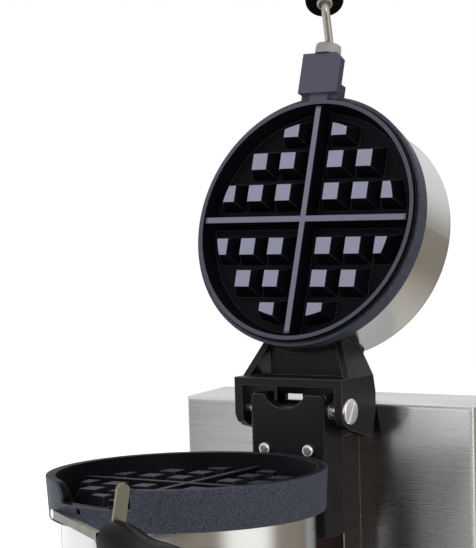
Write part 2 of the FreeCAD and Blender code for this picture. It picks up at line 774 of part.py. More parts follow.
def hinge_pin():
    """Shouldered pin with a slotted round head on the right."""
    ear_out = ear_in + ear_t
    shank = rod_between(V(-ear_out, hinge_y, hinge_z), V(ear_out, hinge_y, hinge_z), pin_r)
    head = rod_between(V(ear_out, hinge_y, hinge_z), V(ear_out + pin_head_t, hinge_y, hinge_z), pin_head_r)
    outer = [e for e in head.Edges if len(e.Vertexes) == 1 and e.CenterOfMass.x > ear_out + 1]
    head = head.makeFillet(1.6, outer)
    slot = box(ear_out + pin_head_t - pin_slot_depth, ear_out + pin_head_t + 1, hinge_y - 20, hinge_y + 20,
               hinge_z - pin_slot_w / 2, hinge_z + pin_slot_w / 2)
    slot.rotate(hinge_point, X_AXIS, 58)
    return shank.fuse(head.cut(slot)).removeSplitter()


def pin_nut():
    ear_out = ear_in + ear_t
    start = V(nut_recess - ear_out, hinge_y, hinge_z)
    nut = hexagon(13.0, start, V(-1, 0, 0), pin_nut_t)
    return nut.cut(rod_between(start + V(1, 0, 0), start - V(20, 0, 0), pin_r))


def hinge_bushes():
    """Two flanged steel bushes pressed into the bracket's cheeks."""
    bushes = []
    for side in (-1, 1):
        inner = bracket_half_w - bracket_t
        a = V(side * inner, hinge_y, hinge_z)
        b = V(side * bracket_half_w, hinge_y, hinge_z)
        c = V(side * (bracket_half_w + bush_flange_t), hinge_y, hinge_z)
        bush = rod_between(a, b, bush_r).fuse(rod_between(b, c, bush_flange_r))
        bushes.append(bush.cut(rod_between(a * 1.0, c, pin_r + pin_fit)))
    return group(bushes)


def hinge_bracket():
    """Black U-shaped bracket with a scooped top, bolted to the neck."""
    y0 = hinge_y - bracket_front
    y1 = hinge_y + bracket_back
    z0 = hinge_z - bracket_under
    z1 = hinge_z + bracket_over
    body = box(-bracket_half_w, bracket_half_w, y0, y1, z0, z1)
    uprights = [e for e in body.Edges
                if abs(e.tangentAt(e.FirstParameter).z) > 0.9 and e.CenterOfMass.y < y0 + 1]
    body = body.makeFillet(2.5, uprights)
    inner = bracket_half_w - bracket_t
    body = body.cut(box(-inner, inner, y0 + bracket_t, y1 + 1, z0 - 1, z1 + 1))
    sag = bracket_notch_depth
    scoop_r = (bracket_notch_w ** 2 / 4 + sag ** 2) / (2 * sag)
    centre = V(bracket_notch_x, y0 - 1, z1 - sag + scoop_r)
    body = body.cut(Part.makeCylinder(scoop_r, bracket_t + 2, centre, Y_AXIS))
    round_r = 4.5
    for side in (-1, 1):
        corner = box(bracket_half_w - round_r, bracket_half_w + 1, y0 - 1, y0 + bracket_t + 0.01,
                     z1 - round_r, z1 + 1)
        keep = Part.makeCylinder(round_r, 40, V(bracket_half_w - round_r, y0 - 2, z1 - round_r), Y_AXIS)
        corner = corner.cut(keep)
        if side < 0:
            corner = corner.mirror(V(0, 0, 0), X_AXIS)
        body = body.cut(corner)
    body = body.cut(rod_between(V(-60, hinge_y, hinge_z), V(60, hinge_y, hinge_z), bush_r))
    flange_y = y1
    for side in (-1, 1):
        x0, x1 = sorted((side * (inner + 0.0), side * (inner - 14)))
        body = body.fuse(box(x0, x1, flange_y - 3, flange_y, z0, hinge_z - neck_top_under))
    for p in bracket_screw_places():
        body = body.cut(rod_between(V(p.x, y0 - 1, p.z), V(p.x, y1 + 1, p.z), screw_r + screw_fit))
    return body.removeSplitter()


def bracket_screw_places():
    return [V(sx * 19.0, 0, hinge_z - dz) for sx in (-1, 1) for dz in (28.6, 78.0)]


def bracket_screws():
    """Long screws through the bracket's front and back flanges into the neck."""
    y0 = hinge_y - bracket_front
    length = bracket_front + bracket_back + neck_t + nut_t + 2
    return group([pan_screw(V(p.x, y0, p.z), Y_AXIS, length) for p in bracket_screw_places()])


def bracket_nuts():
    y = hinge_y + bracket_back + neck_t
    nuts = []
    for p in bracket_screw_places():
        start = V(p.x, y, p.z)
        nut = hexagon(nut_af, start, Y_AXIS, nut_t)
        nuts.append(nut.cut(rod_between(start - Y_AXIS, start + Y_AXIS * (nut_t + 1), screw_r)))
    return group(nuts)


def neck():
    """Stainless box post between the bracket and the cabinet, open towards the cabinet."""
    half = bracket_half_w - neck_in
    y0 = hinge_y + bracket_back
    z1 = hinge_z - neck_top_under
    body = box(-half, half, y0, cabinet_front, deck_z, z1)
    body = body.cut(box(-half + neck_t, half - neck_t, y0 + neck_t, cabinet_front + 1,
                        deck_z - 1, z1 - neck_t))
    for p in bracket_screw_places():
        body = body.cut(rod_between(V(p.x, y0 - 1, p.z), V(p.x, y0 + neck_t + 1, p.z), screw_r + screw_fit))
    return body


# ---- base and cabinet ----
def open_box(x0, x1, y0, y1, z0, z1, t, open_low):
    """Sheet box open below or above, with its upright corners rounded."""
    body = box(x0, x1, y0, y1, z0, z1)
    uprights = [e for e in body.Edges if abs(e.tangentAt(e.FirstParameter).z) > 0.9]
    body = body.makeFillet(bend_r, uprights)
    inner_z0 = z0 - 1 if open_low else z0 + t
    inner_z1 = z1 - t if open_low else z1 + 1
    inner = box(x0 + t, x1 - t, y0 + t, y1 - t, inner_z0, inner_z1)
    return body.cut(inner)


def base_cover():
    """Stainless deck, front and sides of the base, in one folded piece."""
    body = open_box(-base_half_w, base_half_w, base_front, cabinet_back, foot_h + sheet, deck_z, sheet, True)
    body = body.cut(disc(lower_shell_r - 24, deck_z - sheet - 1, deck_z + 1))
    inner_half = base_half_w - 14
    body = body.cut(box(-inner_half, inner_half, cabinet_front + 8, cabinet_back - 10,
                        deck_z - sheet - 1, deck_z + 1))
    for p in shell_screw_places():
        body = body.cut(disc(screw_r + screw_fit, deck_z - sheet - 1, deck_z + 1, p.x, p.y))
    half_w = rocker_w / 2 + 2
    half_h = rocker_h / 2 + 2
    body = body.cut(box(rocker_x - half_w, rocker_x + half_w, base_front - 1, base_front + sheet + 1,
                        panel_z - half_h, panel_z + half_h))
    holes = [(knob_x, shaft_r + 1.5)] + [(x, lamp_r) for x in lamp_xs]
    for x, r in holes:
        body = body.cut(rod_between(V(x, base_front - 1, panel_z), V(x, base_front + sheet + 1, panel_z), r))
    body = body.cut(box(inlet_x - 13.5, inlet_x + 13.5, cabinet_back - sheet - 1, cabinet_back + 1,
                        panel_z - 9.5, panel_z + 9.5))
    return body


def base_pan():
    """Bottom tray that closes the base and carries the feet."""
    gap = 0.3
    t = sheet
    pan = open_box(-base_half_w + t + gap, base_half_w - t - gap,
                   base_front + t + gap, cabinet_back - t - gap,
                   foot_h, foot_h + pan_h, t, False)
    lip = box(-base_half_w, base_half_w, base_front, cabinet_back, foot_h, foot_h + t)
    pan = pan.fuse(lip)
    for p in foot_places():
        pan = pan.cut(disc(screw_r + screw_fit, foot_h - 1, foot_h + t + 1, p.x, p.y))
    return pan.removeSplitter()


def foot_places():
    x = base_half_w - foot_inset
    return [V(sx * x, y, 0) for sx in (-1, 1) for y in (base_front + foot_inset, cabinet_back - foot_inset)]


def feet():
    """Tapered rubber feet, hollowed for their screws."""
    solids = []
    for p in foot_places():
        foot = Part.makeCone(foot_r - 2.0, foot_r, foot_h, V(p.x, p.y, 0))
        foot = foot.cut(disc(screw_head_r + 0.6, -1, foot_h - 5, p.x, p.y))
        foot = foot.cut(disc(screw_r + screw_fit, foot_h - 6, foot_h + 1, p.x, p.y))
        solids.append(foot)
    return group(solids)


def foot_screws():
    return group([pan_screw(V(p.x, p.y, foot_h - 5), Z_AXIS, 5 + sheet + 5) for p in foot_places()])


def cabinet_block(inset, back, low):
    """Block with the cabinet's sloped top, drawn smaller all round by inset."""
    front = cabinet_front + inset
    top = cabinet_top - inset
    outline = [(front, low), (front, top - cabinet_slope), (cabinet_back - sheet, top),
               (back, top), (back, low)]
    return side_plate(outline, inset - base_half_w, base_half_w - inset)


def rear_cabinet():
    """Stainless housing behind the grids, folded with rounded front edges."""
    body = side_plate([(cabinet_front, deck_z), (cabinet_front, cabinet_top - cabinet_slope),
                       (cabinet_back - sheet, cabinet_top), (cabinet_back - sheet, deck_z)],
                      -base_half_w, base_half_w)
    rounded = []
    for e in body.Edges:
        along_z = abs(e.tangentAt(e.FirstParameter).z) > 0.9
        c = e.CenterOfMass
        if c.y < cabinet_front + 1 and (along_z or c.z > deck_z + 1):
            rounded.append(e)
    body = body.makeFillet(bend_r, rounded)
    t = sheet
    body = body.cut(cabinet_block(t, cabinet_back + 1, deck_z - 1))
    half = bracket_half_w - neck_in - neck_t - 2
    body = body.cut(box(-half, half, cabinet_front - 1, cabinet_front + t + 1,
                        deck_z + 20, hinge_z - neck_top_under - 12))
    for p in panel_screw_places():
        pad = box(p.x - 6, p.x + 6, cabinet_back - sheet - 1.5, cabinet_back - sheet, p.z - 6, p.z + 6)
        body = body.fuse(pad.fuse(tab_to_wall(p)))
        body = body.cut(rod_between(V(p.x, cabinet_back - 20, p.z), V(p.x, cabinet_back, p.z), panel_screw_r))
    return body.removeSplitter()


def tab_to_wall(p):
    wall = math.copysign(base_half_w - sheet / 2, p.x)
    x0, x1 = sorted((p.x, wall))
    return box(x0, x1, cabinet_back - sheet - 1.5, cabinet_back - sheet, p.z - 6, p.z + 6)


def panel_screw_places():
    x = base_half_w - 9.0
    return [V(sx * x, 0, z) for sx in (-1, 1) for z in (deck_z + 12, cabinet_top - 12)]


def rear_panel():
    """Back plate of the cabinet with louvre slots."""
    y0 = cabinet_back - sheet
    panel = box(-base_half_w, base_half_w, y0, cabinet_back, deck_z, cabinet_top)
    slots = 7
    for i in range(slots):
        z = cabinet_top - 26 - 8 * i
        panel = panel.cut(box(-60, 60, y0 - 1, cabinet_back + 1, z, z + 3))
    for p in panel_screw_places():
        panel = panel.cut(rod_between(V(p.x, y0 - 1, p.z), V(p.x, cabinet_back + 1, p.z),
                                      panel_screw_r + screw_fit))
    return panel


def panel_screws():
    return group([pan_screw(V(p.x, cabinet_back, p.z), V(0, -1, 0), sheet + 8,
                            r=panel_screw_r, head_r=3.4, head_t=2.2)
                  for p in panel_screw_places()])


# ---- controls ----
def thermostat():
    """Capillary thermostat behind the front panel, with its shaft through it."""
    y0 = base_front + sheet
    case = box(knob_x - 17, knob_x + 17, y0, y0 + 26, panel_z - 14, panel_z + 14)
    collar = rod_between(V(knob_x, base_front - 1.5, panel_z), V(knob_x, y0 + 1, panel_z), shaft_r + 1.3)
    case = case.fuse(collar)
    bore = rod_between(V(knob_x, base_front - 3, panel_z), V(knob_x, y0 + 12, panel_z), shaft_r + 0.06)
    return case.cut(bore).removeSplitter()


def thermostat_knob():
    """Turned knob with grip flutes, a pointer rib and its shaft."""
    y0 = base_front - 2.5
    skirt = rod_between(V(knob_x, y0, panel_z), V(knob_x, y0 - 3.5, panel_z), knob_r)
    cap = Part.makeCone(knob_r - 4, knob_r - 5.5, knob_h - 3.5, V(knob_x, y0 - 3.5, panel_z), V(0, -1, 0))
    flutes = 12
    for i in range(flutes):
        a = math.radians(360 / flutes * (i + 0.5))
        x = knob_x + (knob_r - 3) * math.cos(a)
        z = panel_z + (knob_r - 3) * math.sin(a)
        cap = cap.cut(rod_between(V(x, y0 - 3.5, z), V(x, y0 - knob_h - 1, z), 2.6))
    pointer = box(knob_x - 1.2, knob_x + 1.2, y0 - knob_h - 1, y0 - 3, panel_z + 2, panel_z + knob_r - 1)
    shaft = rod_between(V(knob_x, y0 - 1, panel_z), V(knob_x, base_front + sheet + 10, panel_z), shaft_r)
    return skirt.multiFuse([cap, pointer, shaft]).removeSplitter()


def power_switch():
    """Rocker switch housing: bezel outside, body inside the panel."""
    half_w = rocker_w / 2
    half_h = rocker_h / 2
    bezel = box(rocker_x - half_w - 4, rocker_x + half_w + 4, base_front - 2, base_front,
                panel_z - half_h - 4, panel_z + half_h + 4)
    body = box(rocker_x - half_w - 2, rocker_x + half_w + 2, base_front - 1, base_front + 22,
               panel_z - half_h - 2, panel_z + half_h + 2)
    well = box(rocker_x - half_w - rocker_play, rocker_x + half_w + rocker_play,
               base_front - 3, base_front + 12,
               panel_z - half_h - rocker_play, panel_z + half_h + rocker_play)
    axle = rod_between(V(rocker_x - half_w - 1.6, base_front + 3, panel_z),
                       V(rocker_x + half_w + 1.6, base_front + 3, panel_z), 1.3)
    return bezel.fuse(body).cut(well).cut(axle).removeSplitter()


def power_rocker():
    """Rocker with a dished face and two short axle stubs."""
    half_w = rocker_w / 2
    half_h = rocker_h / 2 - 1.0
    pivot = V(rocker_x, base_front + 3, panel_z)
    face = base_front - 3.4
    wings = [(face, panel_z - half_h), (face + 2.2, panel_z), (face, panel_z + half_h)]
    back = [(base_front + 2.4, panel_z + half_h), (base_front + 8, panel_z),
            (base_front + 2.4, panel_z - half_h)]
    rocker = side_plate(wings + back, rocker_x - half_w, rocker_x + half_w)
    stub = rod_between(pivot - V(half_w + 1.4, 0, 0), pivot + V(half_w + 1.4, 0, 0), 1.25)
    return rocker.fuse(stub).removeSplitter()


def lamp(x):
    """Pilot lamp: domed lens ahead of the panel, barrel behind it."""
    barrel = rod_between(V(x, base_front, panel_z), V(x, base_front + 16, panel_z), lamp_r)
    bezel = rod_between(V(x, base_front - 1.6, panel_z), V(x, base_front, panel_z), lamp_r + 2.2)
    dome = Part.makeSphere(lamp_r + 0.6, V(x, base_front - 0.2, panel_z))
    dome = dome.common(box(x - 20, x + 20, base_front - 20, base_front - 1.6, panel_z - 20, panel_z + 20))
    return barrel.multiFuse([bezel, dome]).removeSplitter()


def terminal_block():
    """Ceramic connector strip with six brass clamps' wells, on the base tray."""
    z0 = foot_h + sheet
    block = box(-36, 36, 168, 186, z0, z0 + 16)
    for i in range(6):
        x = -30 + 12 * i
        block = block.cut(disc(3.2, z0 + 6, z0 + 17, x, 177))
    return block


def power_inlet():
    """Flanged appliance inlet with three pins, in the back of the base."""
    y1 = cabinet_back
    flange = box(inlet_x - 20, inlet_x + 20, y1, y1 + 3, panel_z - 12, panel_z + 12)
    shroud = box(inlet_x - 13, inlet_x + 13, y1 - 24, y1 + 1, panel_z - 9, panel_z + 9)
    well = box(inlet_x - 11, inlet_x + 11, y1 - 16, y1 + 4, panel_z - 7, panel_z + 7)
    body = flange.fuse(shroud).cut(well)
    for dx, dz in ((-7, -2), (7, -2), (0, 2)):
        pin = box(inlet_x + dx - 1, inlet_x + dx + 1, y1 - 17, y1 - 3, panel_z + dz - 2.2, panel_z + dz + 2.2)
        body = body.fuse(pin)
    return body.removeSplitter()


def sensor_bulb():
    """Thermostat bulb held between the lower clamp plate's posts, on the casting."""
    z = shell_top_z - 3.0
    return rod_between(V(-24, 0, z), V(24, 0, z), 2.9)


def make_parts():
    """Every piece by its name, in the drawing's own position."""
    heater_drop = 2 * element_r
    lower_plate_top = shell_top_z - heater_drop
    upper_back = face_z + upper_casting_h
    upper_plate_low = upper_back + heater_drop
    upper_plate_top = upper_plate_low + plate_t
    lower_plate_low = lower_plate_top - plate_t
    parts = {
        "lower_grid": lower_grid(),
        "lower_shell": lower_shell(),
        "lower_support_posts": lower_skirt_studs(),
        "lower_shell_screws": shell_screws(),
        "lower_heater": element(shell_top_z - element_r),
        "lower_heater_clamp": clamp_plate(lower_plate_low, lower_plate_top, 1),
        "lower_heater_screws": heater_screws(lower_plate_low, 1.0, 4.0),
        "lower_insulation": insulation_disc(lower_plate_low - insulation_t, lower_shell_r - 14),
        "thermostat_bulb": sensor_bulb(),
        "lower_handle_bracket": lower_handle_bracket(),
        "lower_handle_arm_screw": lower_arm_bolt(),
        "lower_grip_bolt": lower_grip_bolt(),
        "lower_grip": lower_grip(),
        "upper_grid": opened(upper_grid()),
        "upper_cover": opened(upper_cover()),
        "upper_heater": opened(element(upper_back + element_r)),
        "upper_heater_clamp": opened(clamp_plate(upper_plate_low, upper_plate_top, -1)),
        "upper_heater_screws": opened(heater_screws(upper_plate_top, -1.0, 2.5)),
        "upper_insulation": opened(insulation_disc(upper_plate_top, element_ring_r + clamp_over)),
        "upper_saddle_plate": opened(saddle_plate()),
        "head_hinge_casting": head_hinge_casting(),
        "hinge_casting_screws": opened(saddle_screws()),
        "hinge_pin": hinge_pin(),
        "hinge_pin_nut": pin_nut(),
        "upper_handle_rod": opened(handle_rod()),
        "upper_handle_nut": opened(rod_nut()),
        "upper_grip": opened(upper_grip()),
        "upper_grip_ferrule": opened(grip_ferrule()),
        "hinge_bracket": hinge_bracket(),
        "hinge_bushes": hinge_bushes(),
        "bracket_screws": bracket_screws(),
        "bracket_nuts": bracket_nuts(),
        "neck": neck(),
        "base_cover": base_cover(),
        "base_pan": base_pan(),
        "feet": feet(),
        "foot_screws": foot_screws(),
        "rear_cabinet": rear_cabinet(),
        "rear_panel": rear_panel(),
        "panel_screws": panel_screws(),
        "thermostat": thermostat(),
        "thermostat_knob": thermostat_knob(),
        "power_switch": power_switch(),
        "power_rocker": power_rocker(),
        "power_lamp": lamp(lamp_xs[0]),
        "ready_lamp": lamp(lamp_xs[1]),
        "terminal_block": terminal_block(),
        "power_inlet": power_inlet(),
    }
    return parts


def main():
    os.makedirs("parts", exist_ok=True)
    parts = make_parts()
    outline = FreeCAD.BoundBox()
    for shape in parts.values():
        outline.add(shape.optimalBoundingBox(False, False))
    to_middle = V(-outline.Center.x, -outline.Center.y, -outline.ZMin)
    for name, shape in parts.items():
        shape.translate(to_middle)
        save(name, shape)
    hinge = hinge_point + to_middle
    print("hinge axis at", round(hinge.x, 4), round(hinge.y, 4), round(hinge.z, 4))
    print("moved by", round(to_middle.x, 4), round(to_middle.y, 4), round(to_middle.z, 4))


main()
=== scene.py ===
# %% [markdown]
# # Waffle baker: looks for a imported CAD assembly
# The solids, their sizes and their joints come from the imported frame. This lesson gives them finishes,
# adds a few small pieces that only matter to the eye, and sets up a studio around them.
# Everything is in metres, +Z up, with the origin on the table under the middle of the whole outline.

import json
import math

import bmesh
import bpy
from mathutils import Matrix, Vector


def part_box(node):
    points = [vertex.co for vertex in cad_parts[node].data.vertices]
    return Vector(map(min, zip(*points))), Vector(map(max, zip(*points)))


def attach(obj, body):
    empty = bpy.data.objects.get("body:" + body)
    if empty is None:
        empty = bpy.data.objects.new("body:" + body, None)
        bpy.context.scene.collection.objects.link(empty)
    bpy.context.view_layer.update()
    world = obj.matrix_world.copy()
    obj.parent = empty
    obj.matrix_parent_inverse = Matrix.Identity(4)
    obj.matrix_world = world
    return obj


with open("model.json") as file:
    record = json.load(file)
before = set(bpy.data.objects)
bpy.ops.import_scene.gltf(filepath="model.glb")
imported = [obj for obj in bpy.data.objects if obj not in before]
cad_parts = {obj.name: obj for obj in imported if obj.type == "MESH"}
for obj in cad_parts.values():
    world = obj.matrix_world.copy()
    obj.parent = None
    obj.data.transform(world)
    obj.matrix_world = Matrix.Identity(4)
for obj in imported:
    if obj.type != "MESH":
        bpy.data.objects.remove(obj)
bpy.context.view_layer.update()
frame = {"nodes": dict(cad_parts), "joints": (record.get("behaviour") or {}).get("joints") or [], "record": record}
nodes = frame["nodes"]
slot_of = {part["node"]: part["material_slot"] for part in frame["record"]["subparts"]}

# %% [markdown]
# ## Reference levels
# Finishes that change with height, such as the paler tops of the waffle pyramids, need to know where
# the castings are. These levels are read back from the frame's own boxes, so a changed part stays in step.
# The open head leans back, so a point on its face and the face's direction are worked out from the hinge joint.

# %% Levels and the head's own directions
hinge = next(j for j in frame["joints"] if j["name"] == "head_hinge")
hinge_point = Vector(hinge["pos_m"])
open_turn = math.radians(hinge["range_deg"][1])
lower_low, lower_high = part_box("lower_grid")
rim_top = lower_high.z
land_drop, face_gap = 0.009, 0.0005
land_level = rim_top - land_drop
turn_back = Matrix.Rotation(-open_turn, 4, "X")
shut_to_open = Matrix.Translation(hinge_point) @ turn_back @ Matrix.Translation(-hinge_point)
shell_low, shell_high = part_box("lower_shell")
grid_centre = (shell_low + shell_high) / 2
face_point = shut_to_open @ Vector((grid_centre.x, grid_centre.y, rim_top + face_gap))
face_back = (shut_to_open.to_3x3() @ Vector((0, 0, 1))).normalized()
head_outward = (shut_to_open.to_3x3() @ Vector((0, -1, 0))).normalized()
print("rim top", round(rim_top, 4), "head face at", [round(c, 4) for c in face_point])

# %% [markdown]
# ## Small helpers for node trees
# A material is a graph of nodes. A few short helpers keep each recipe readable. The first adds a node and sets
# its values, by a socket's number where two sockets share a name. The second adds a noise texture, and the
# third starts a material with its Principled shader.

# %% Node helpers
def add(tree, kind, place=(0, 0), **values):
    """Adds a node; keys that name sockets set their defaults, other keys set properties."""
    node = tree.nodes.new(kind)
    node.location = place
    for key, value in values.items():
        if key.startswith("in_"):
            node.inputs[int(key[3:])].default_value = value
        else:
            setattr(node, key, value)
    return node


def noise(tree, vector, place=(0, 0), scale=1.0, detail=2.0, roughness=0.5):
    """A noise texture in the given coordinates."""
    node = add(tree, "ShaderNodeTexNoise", place)
    for label, value in (("Scale", scale), ("Detail", detail), ("Roughness", roughness)):
        node.inputs[label].default_value = value
    tree.links.new(vector, node.inputs["Vector"])
    return node


def new_material(name, **shader_values):
    """A material holding one Principled shader, with constants set on the shader's own sockets."""
    material = bpy.data.materials.new(name)
    material.use_nodes = True
    tree = material.node_tree
    tree.nodes.clear()
    output = add(tree, "ShaderNodeOutputMaterial", (900, 0))
    shader = add(tree, "ShaderNodeBsdfPrincipled", (600, 0))
    tree.links.new(shader.outputs["BSDF"], output.inputs["Surface"])
    for socket, value in shader_values.items():
        shader.inputs[socket.replace("_", " ")].default_value = value
    return material, tree, shader


print("helpers: add, noise, new_material")

# %% [markdown]
# ## Helpers for node groups
# An effect that several finishes share is a node group, made once. One helper makes the group with its named
# sockets, and the other places it in a material with that material's own values.

# %% Group helpers
FLOAT, VECTOR = "NodeSocketFloat", "NodeSocketVector"


def new_group(name, inputs, outputs):
    """A node group with named sockets: inputs are (name, type, default), outputs are (name, type)."""
    group = bpy.data.node_groups.new(name, "ShaderNodeTree")
    for label, kind, default in inputs:
        socket = group.interface.new_socket(label, in_out="INPUT", socket_type=kind)
        if default is not None:
            socket.default_value = default
    for label, kind in outputs:
        group.interface.new_socket(label, in_out="OUTPUT", socket_type=kind)
    start = add(group, "NodeGroupInput", (-900, 0))
    end = add(group, "NodeGroupOutput", (900, 0))
    return group, start, end


def place_group(tree, group, place=(0, 0), **values):
    """Puts a group into a material with this material's own values."""
    node = add(tree, "ShaderNodeGroup", place)
    node.node_tree = group
    for label, value in values.items():
        node.inputs[label.replace("_", " ")].default_value = value
    return node


print("helpers: new_group, place_group")

# %% [markdown]
# ## Helpers for masks and colours
# Most recipes do the same few things: turn a value into a mask, keep what two masks share, mix two colours by a
# mask, and raise a fine relief. Each gets a helper, so that a recipe reads as what it does to the metal.

# %% Mask and colour helpers
def colour_mix(tree, factor, a, b, place=(0, 0)):
    """Mixes two colours; each may be a socket or a plain colour."""
    node = add(tree, "ShaderNodeMix", place, data_type="RGBA")
    for socket, value in ((node.inputs[0], factor), (node.inputs[6], a), (node.inputs[7], b)):
        if isinstance(value, bpy.types.NodeSocket):
            tree.links.new(value, socket)
        else:
            socket.default_value = value
    return node.outputs[2]


def ramp(tree, value, low, high, place=(0, 0), out_low=0.0, out_high=1.0):
    """Turns a value between low and high into a number between the two outputs."""
    node = add(tree, "ShaderNodeMapRange", place, in_1=low, in_2=high, in_3=out_low, in_4=out_high)
    tree.links.new(value, node.inputs[0])
    return node.outputs[0]


def product(tree, first, second, place=(0, 0)):
    """Multiplies two masks, so only what lies in both is left."""
    node = add(tree, "ShaderNodeMath", place, operation="MULTIPLY")
    for socket, value in zip(node.inputs, (first, second)):
        if isinstance(value, bpy.types.NodeSocket):
            tree.links.new(value, socket)
        else:
            socket.default_value = value
    return node.outputs[0]


def dot(tree, vector, direction, place=(0, 0)):
    """How far a vector goes along a fixed direction."""
    node = add(tree, "ShaderNodeVectorMath", place, operation="DOT_PRODUCT", in_1=tuple(direction))
    tree.links.new(vector, node.inputs[0])
    return node.outputs["Value"]


def bump(tree, shader, height, distance, strength, normal):
    """A fine relief on top of the rounded corners."""
    node = add(tree, "ShaderNodeBump", (300, -300))
    node.inputs["Strength"].default_value = strength
    node.inputs["Distance"].default_value = distance
    tree.links.new(height, node.inputs["Height"])
    tree.links.new(normal, node.inputs["Normal"])
    tree.links.new(node.outputs["Normal"], shader.inputs["Normal"])


def rounded_normal(tree, radius):
    """The normal of the surface as if its sharp corners were rounded."""
    node = add(tree, "ShaderNodeBevel", (0, -400), samples=6)
    node.inputs["Radius"].default_value = radius
    return node.outputs["Normal"]


print("helpers: colour_mix, ramp, product, dot, bump, rounded_normal")

# %% [markdown]
# ## Effect: worn edges and painted edge highlights
# Paint and seasoning wear off first where a corner sticks out. The Bevel node gives the direction a rounded
# corner would face; where that differs from the flat face, there is an edge, at an outer corner and in a hollow
# alike.
# Noise breaks the line up, because real wear comes and goes. The group gives only a mask, so each finish decides
# what it looks like: some use it for wear, and some paint a highlight along their edges with it.

# %% Worn-edge and edge-highlight group
edge_wear_and_highlight, start, end = new_group(
    "edge_wear_and_highlight",
    [("Radius", FLOAT, 0.001), ("Patchiness", FLOAT, 0.5), ("Scale", FLOAT, 220.0)],
    [("Mask", FLOAT)])
link = edge_wear_and_highlight.links.new
bevel = add(edge_wear_and_highlight, "ShaderNodeBevel", (-600, 200), samples=6)
geometry = add(edge_wear_and_highlight, "ShaderNodeNewGeometry", (-600, 0))
facing = add(edge_wear_and_highlight, "ShaderNodeVectorMath", (-400, 100), operation="DOT_PRODUCT")
link(start.outputs["Radius"], bevel.inputs["Radius"])
link(bevel.outputs["Normal"], facing.inputs[0])
link(geometry.outputs["Normal"], facing.inputs[1])
edge = ramp(edge_wear_and_highlight, facing.outputs["Value"], 0.985, 0.80, (-200, 100))
coords = add(edge_wear_and_highlight, "ShaderNodeTexCoord", (-600, -250))
breaks = noise(edge_wear_and_highlight, coords.outputs["Object"], (-400, -250), detail=4.0)
link(start.outputs["Scale"], breaks.inputs["Scale"])
patches = ramp(edge_wear_and_highlight, breaks.outputs[0], 0.38, 0.62, (-200, -250))
keep = add(edge_wear_and_highlight, "ShaderNodeMix", (100, 0), data_type="FLOAT", in_2=1.0)
link(start.outputs["Patchiness"], keep.inputs[0])
link(patches, keep.inputs[3])
link(product(edge_wear_and_highlight, edge, keep.outputs[0], (400, 0)), end.inputs["Mask"])
print("group", edge_wear_and_highlight.name, "sockets", len(edge_wear_and_highlight.interface.items_tree))

# %% [markdown]
# ## Effect: brushed grain
# Brushed stainless is covered in fine scratches that all run one way. Noise stretched a hundred times along
# one axis gives them. The grain varies the roughness and tilts the surface a little, and a second, larger
# noise stands for the smudges and wiping marks that any kitchen steel has.

# %% Brushed-grain group
brushed, start, end = new_group(
    "brushed_grain",
    [("Stretch", VECTOR, (1.0, 1.0, 1.0)), ("Rough Low", FLOAT, 0.2), ("Rough High", FLOAT, 0.4),
     ("Smudge", FLOAT, 0.3), ("Lean", FLOAT, 0.0)],
    [("Roughness", FLOAT), ("Height", FLOAT), ("Tone", FLOAT)])
link = brushed.links.new
coords = add(brushed, "ShaderNodeTexCoord", (-900, 200))
lean = add(brushed, "ShaderNodeVectorRotate", (-800, 350), rotation_type="X_AXIS")
link(coords.outputs["Object"], lean.inputs["Vector"])
link(start.outputs["Lean"], lean.inputs["Angle"])
stretched = add(brushed, "ShaderNodeVectorMath", (-700, 200), operation="MULTIPLY")
link(lean.outputs[0], stretched.inputs[0])
link(start.outputs["Stretch"], stretched.inputs[1])
scratches = noise(brushed, stretched.outputs[0], (-500, 200), scale=1.0, detail=3.0)
smudges = noise(brushed, coords.outputs["Object"], (-500, -100), scale=14.0, detail=4.0)
mix = add(brushed, "ShaderNodeMix", (-200, 100), data_type="FLOAT")
link(start.outputs["Smudge"], mix.inputs[0])
link(scratches.outputs[0], mix.inputs[2])
link(smudges.outputs[0], mix.inputs[3])
rough = add(brushed, "ShaderNodeMapRange", (100, 100), in_1=0.3, in_2=0.7)
link(mix.outputs[0], rough.inputs[0])
link(start.outputs["Rough Low"], rough.inputs[3])
link(start.outputs["Rough High"], rough.inputs[4])
link(rough.outputs[0], end.inputs["Roughness"])
link(scratches.outputs[0], end.inputs["Height"])
link(smudges.outputs[0], end.inputs["Tone"])
print("group", brushed.name)

# %% [markdown]
# ## Effect: cast skin
# Sand-cast metal has a skin of tiny bumps, and seasoning makes it darker in some places than in others.
# One fine noise gives the bumps, one larger noise gives the mottling.

# %% Cast-skin group
cast_skin, start, end = new_group(
    "cast_skin",
    [("Grain Scale", FLOAT, 900.0), ("Mottle Scale", FLOAT, 40.0)],
    [("Height", FLOAT), ("Mottle", FLOAT)])
link = cast_skin.links.new
coords = add(cast_skin, "ShaderNodeTexCoord", (-700, 0))
grain = noise(cast_skin, coords.outputs["Object"], (-400, 150), detail=3.0, roughness=0.6)
mottle = noise(cast_skin, coords.outputs["Object"], (-400, -150), detail=5.0)
link(start.outputs["Grain Scale"], grain.inputs["Scale"])
link(start.outputs["Mottle Scale"], mottle.inputs["Scale"])
link(grain.outputs[0], end.inputs["Height"])
link(mottle.outputs[0], end.inputs["Mottle"])
print("group", cast_skin.name)

# %% [markdown]
# ## Finish: seasoned grid casting
# The two waffle grids are cast metal with a dark, slightly blue non-stick skin. The tops of the pyramids and
# ribs are painted paler: a painted sheen that stands for the front light they catch. It is strong on the leaning
# upper grid, which faces that light, and faint on the lower one, which lies in shade. A plane through the tops
# splits them from the rest: the distance from that plane along the mould's own direction makes the mask, so the
# same recipe serves the level lower grid and the leaning upper one.

# %% Grid masks
rim_radius = (lower_high.x - lower_low.x) / 2
wall_from, wall_full = rim_radius - 0.0027, rim_radius - 0.0017
ring_from, ring_full = rim_radius - 0.0105, rim_radius - 0.0097
rib_half_in, rib_half_out = 0.0048, 0.0056


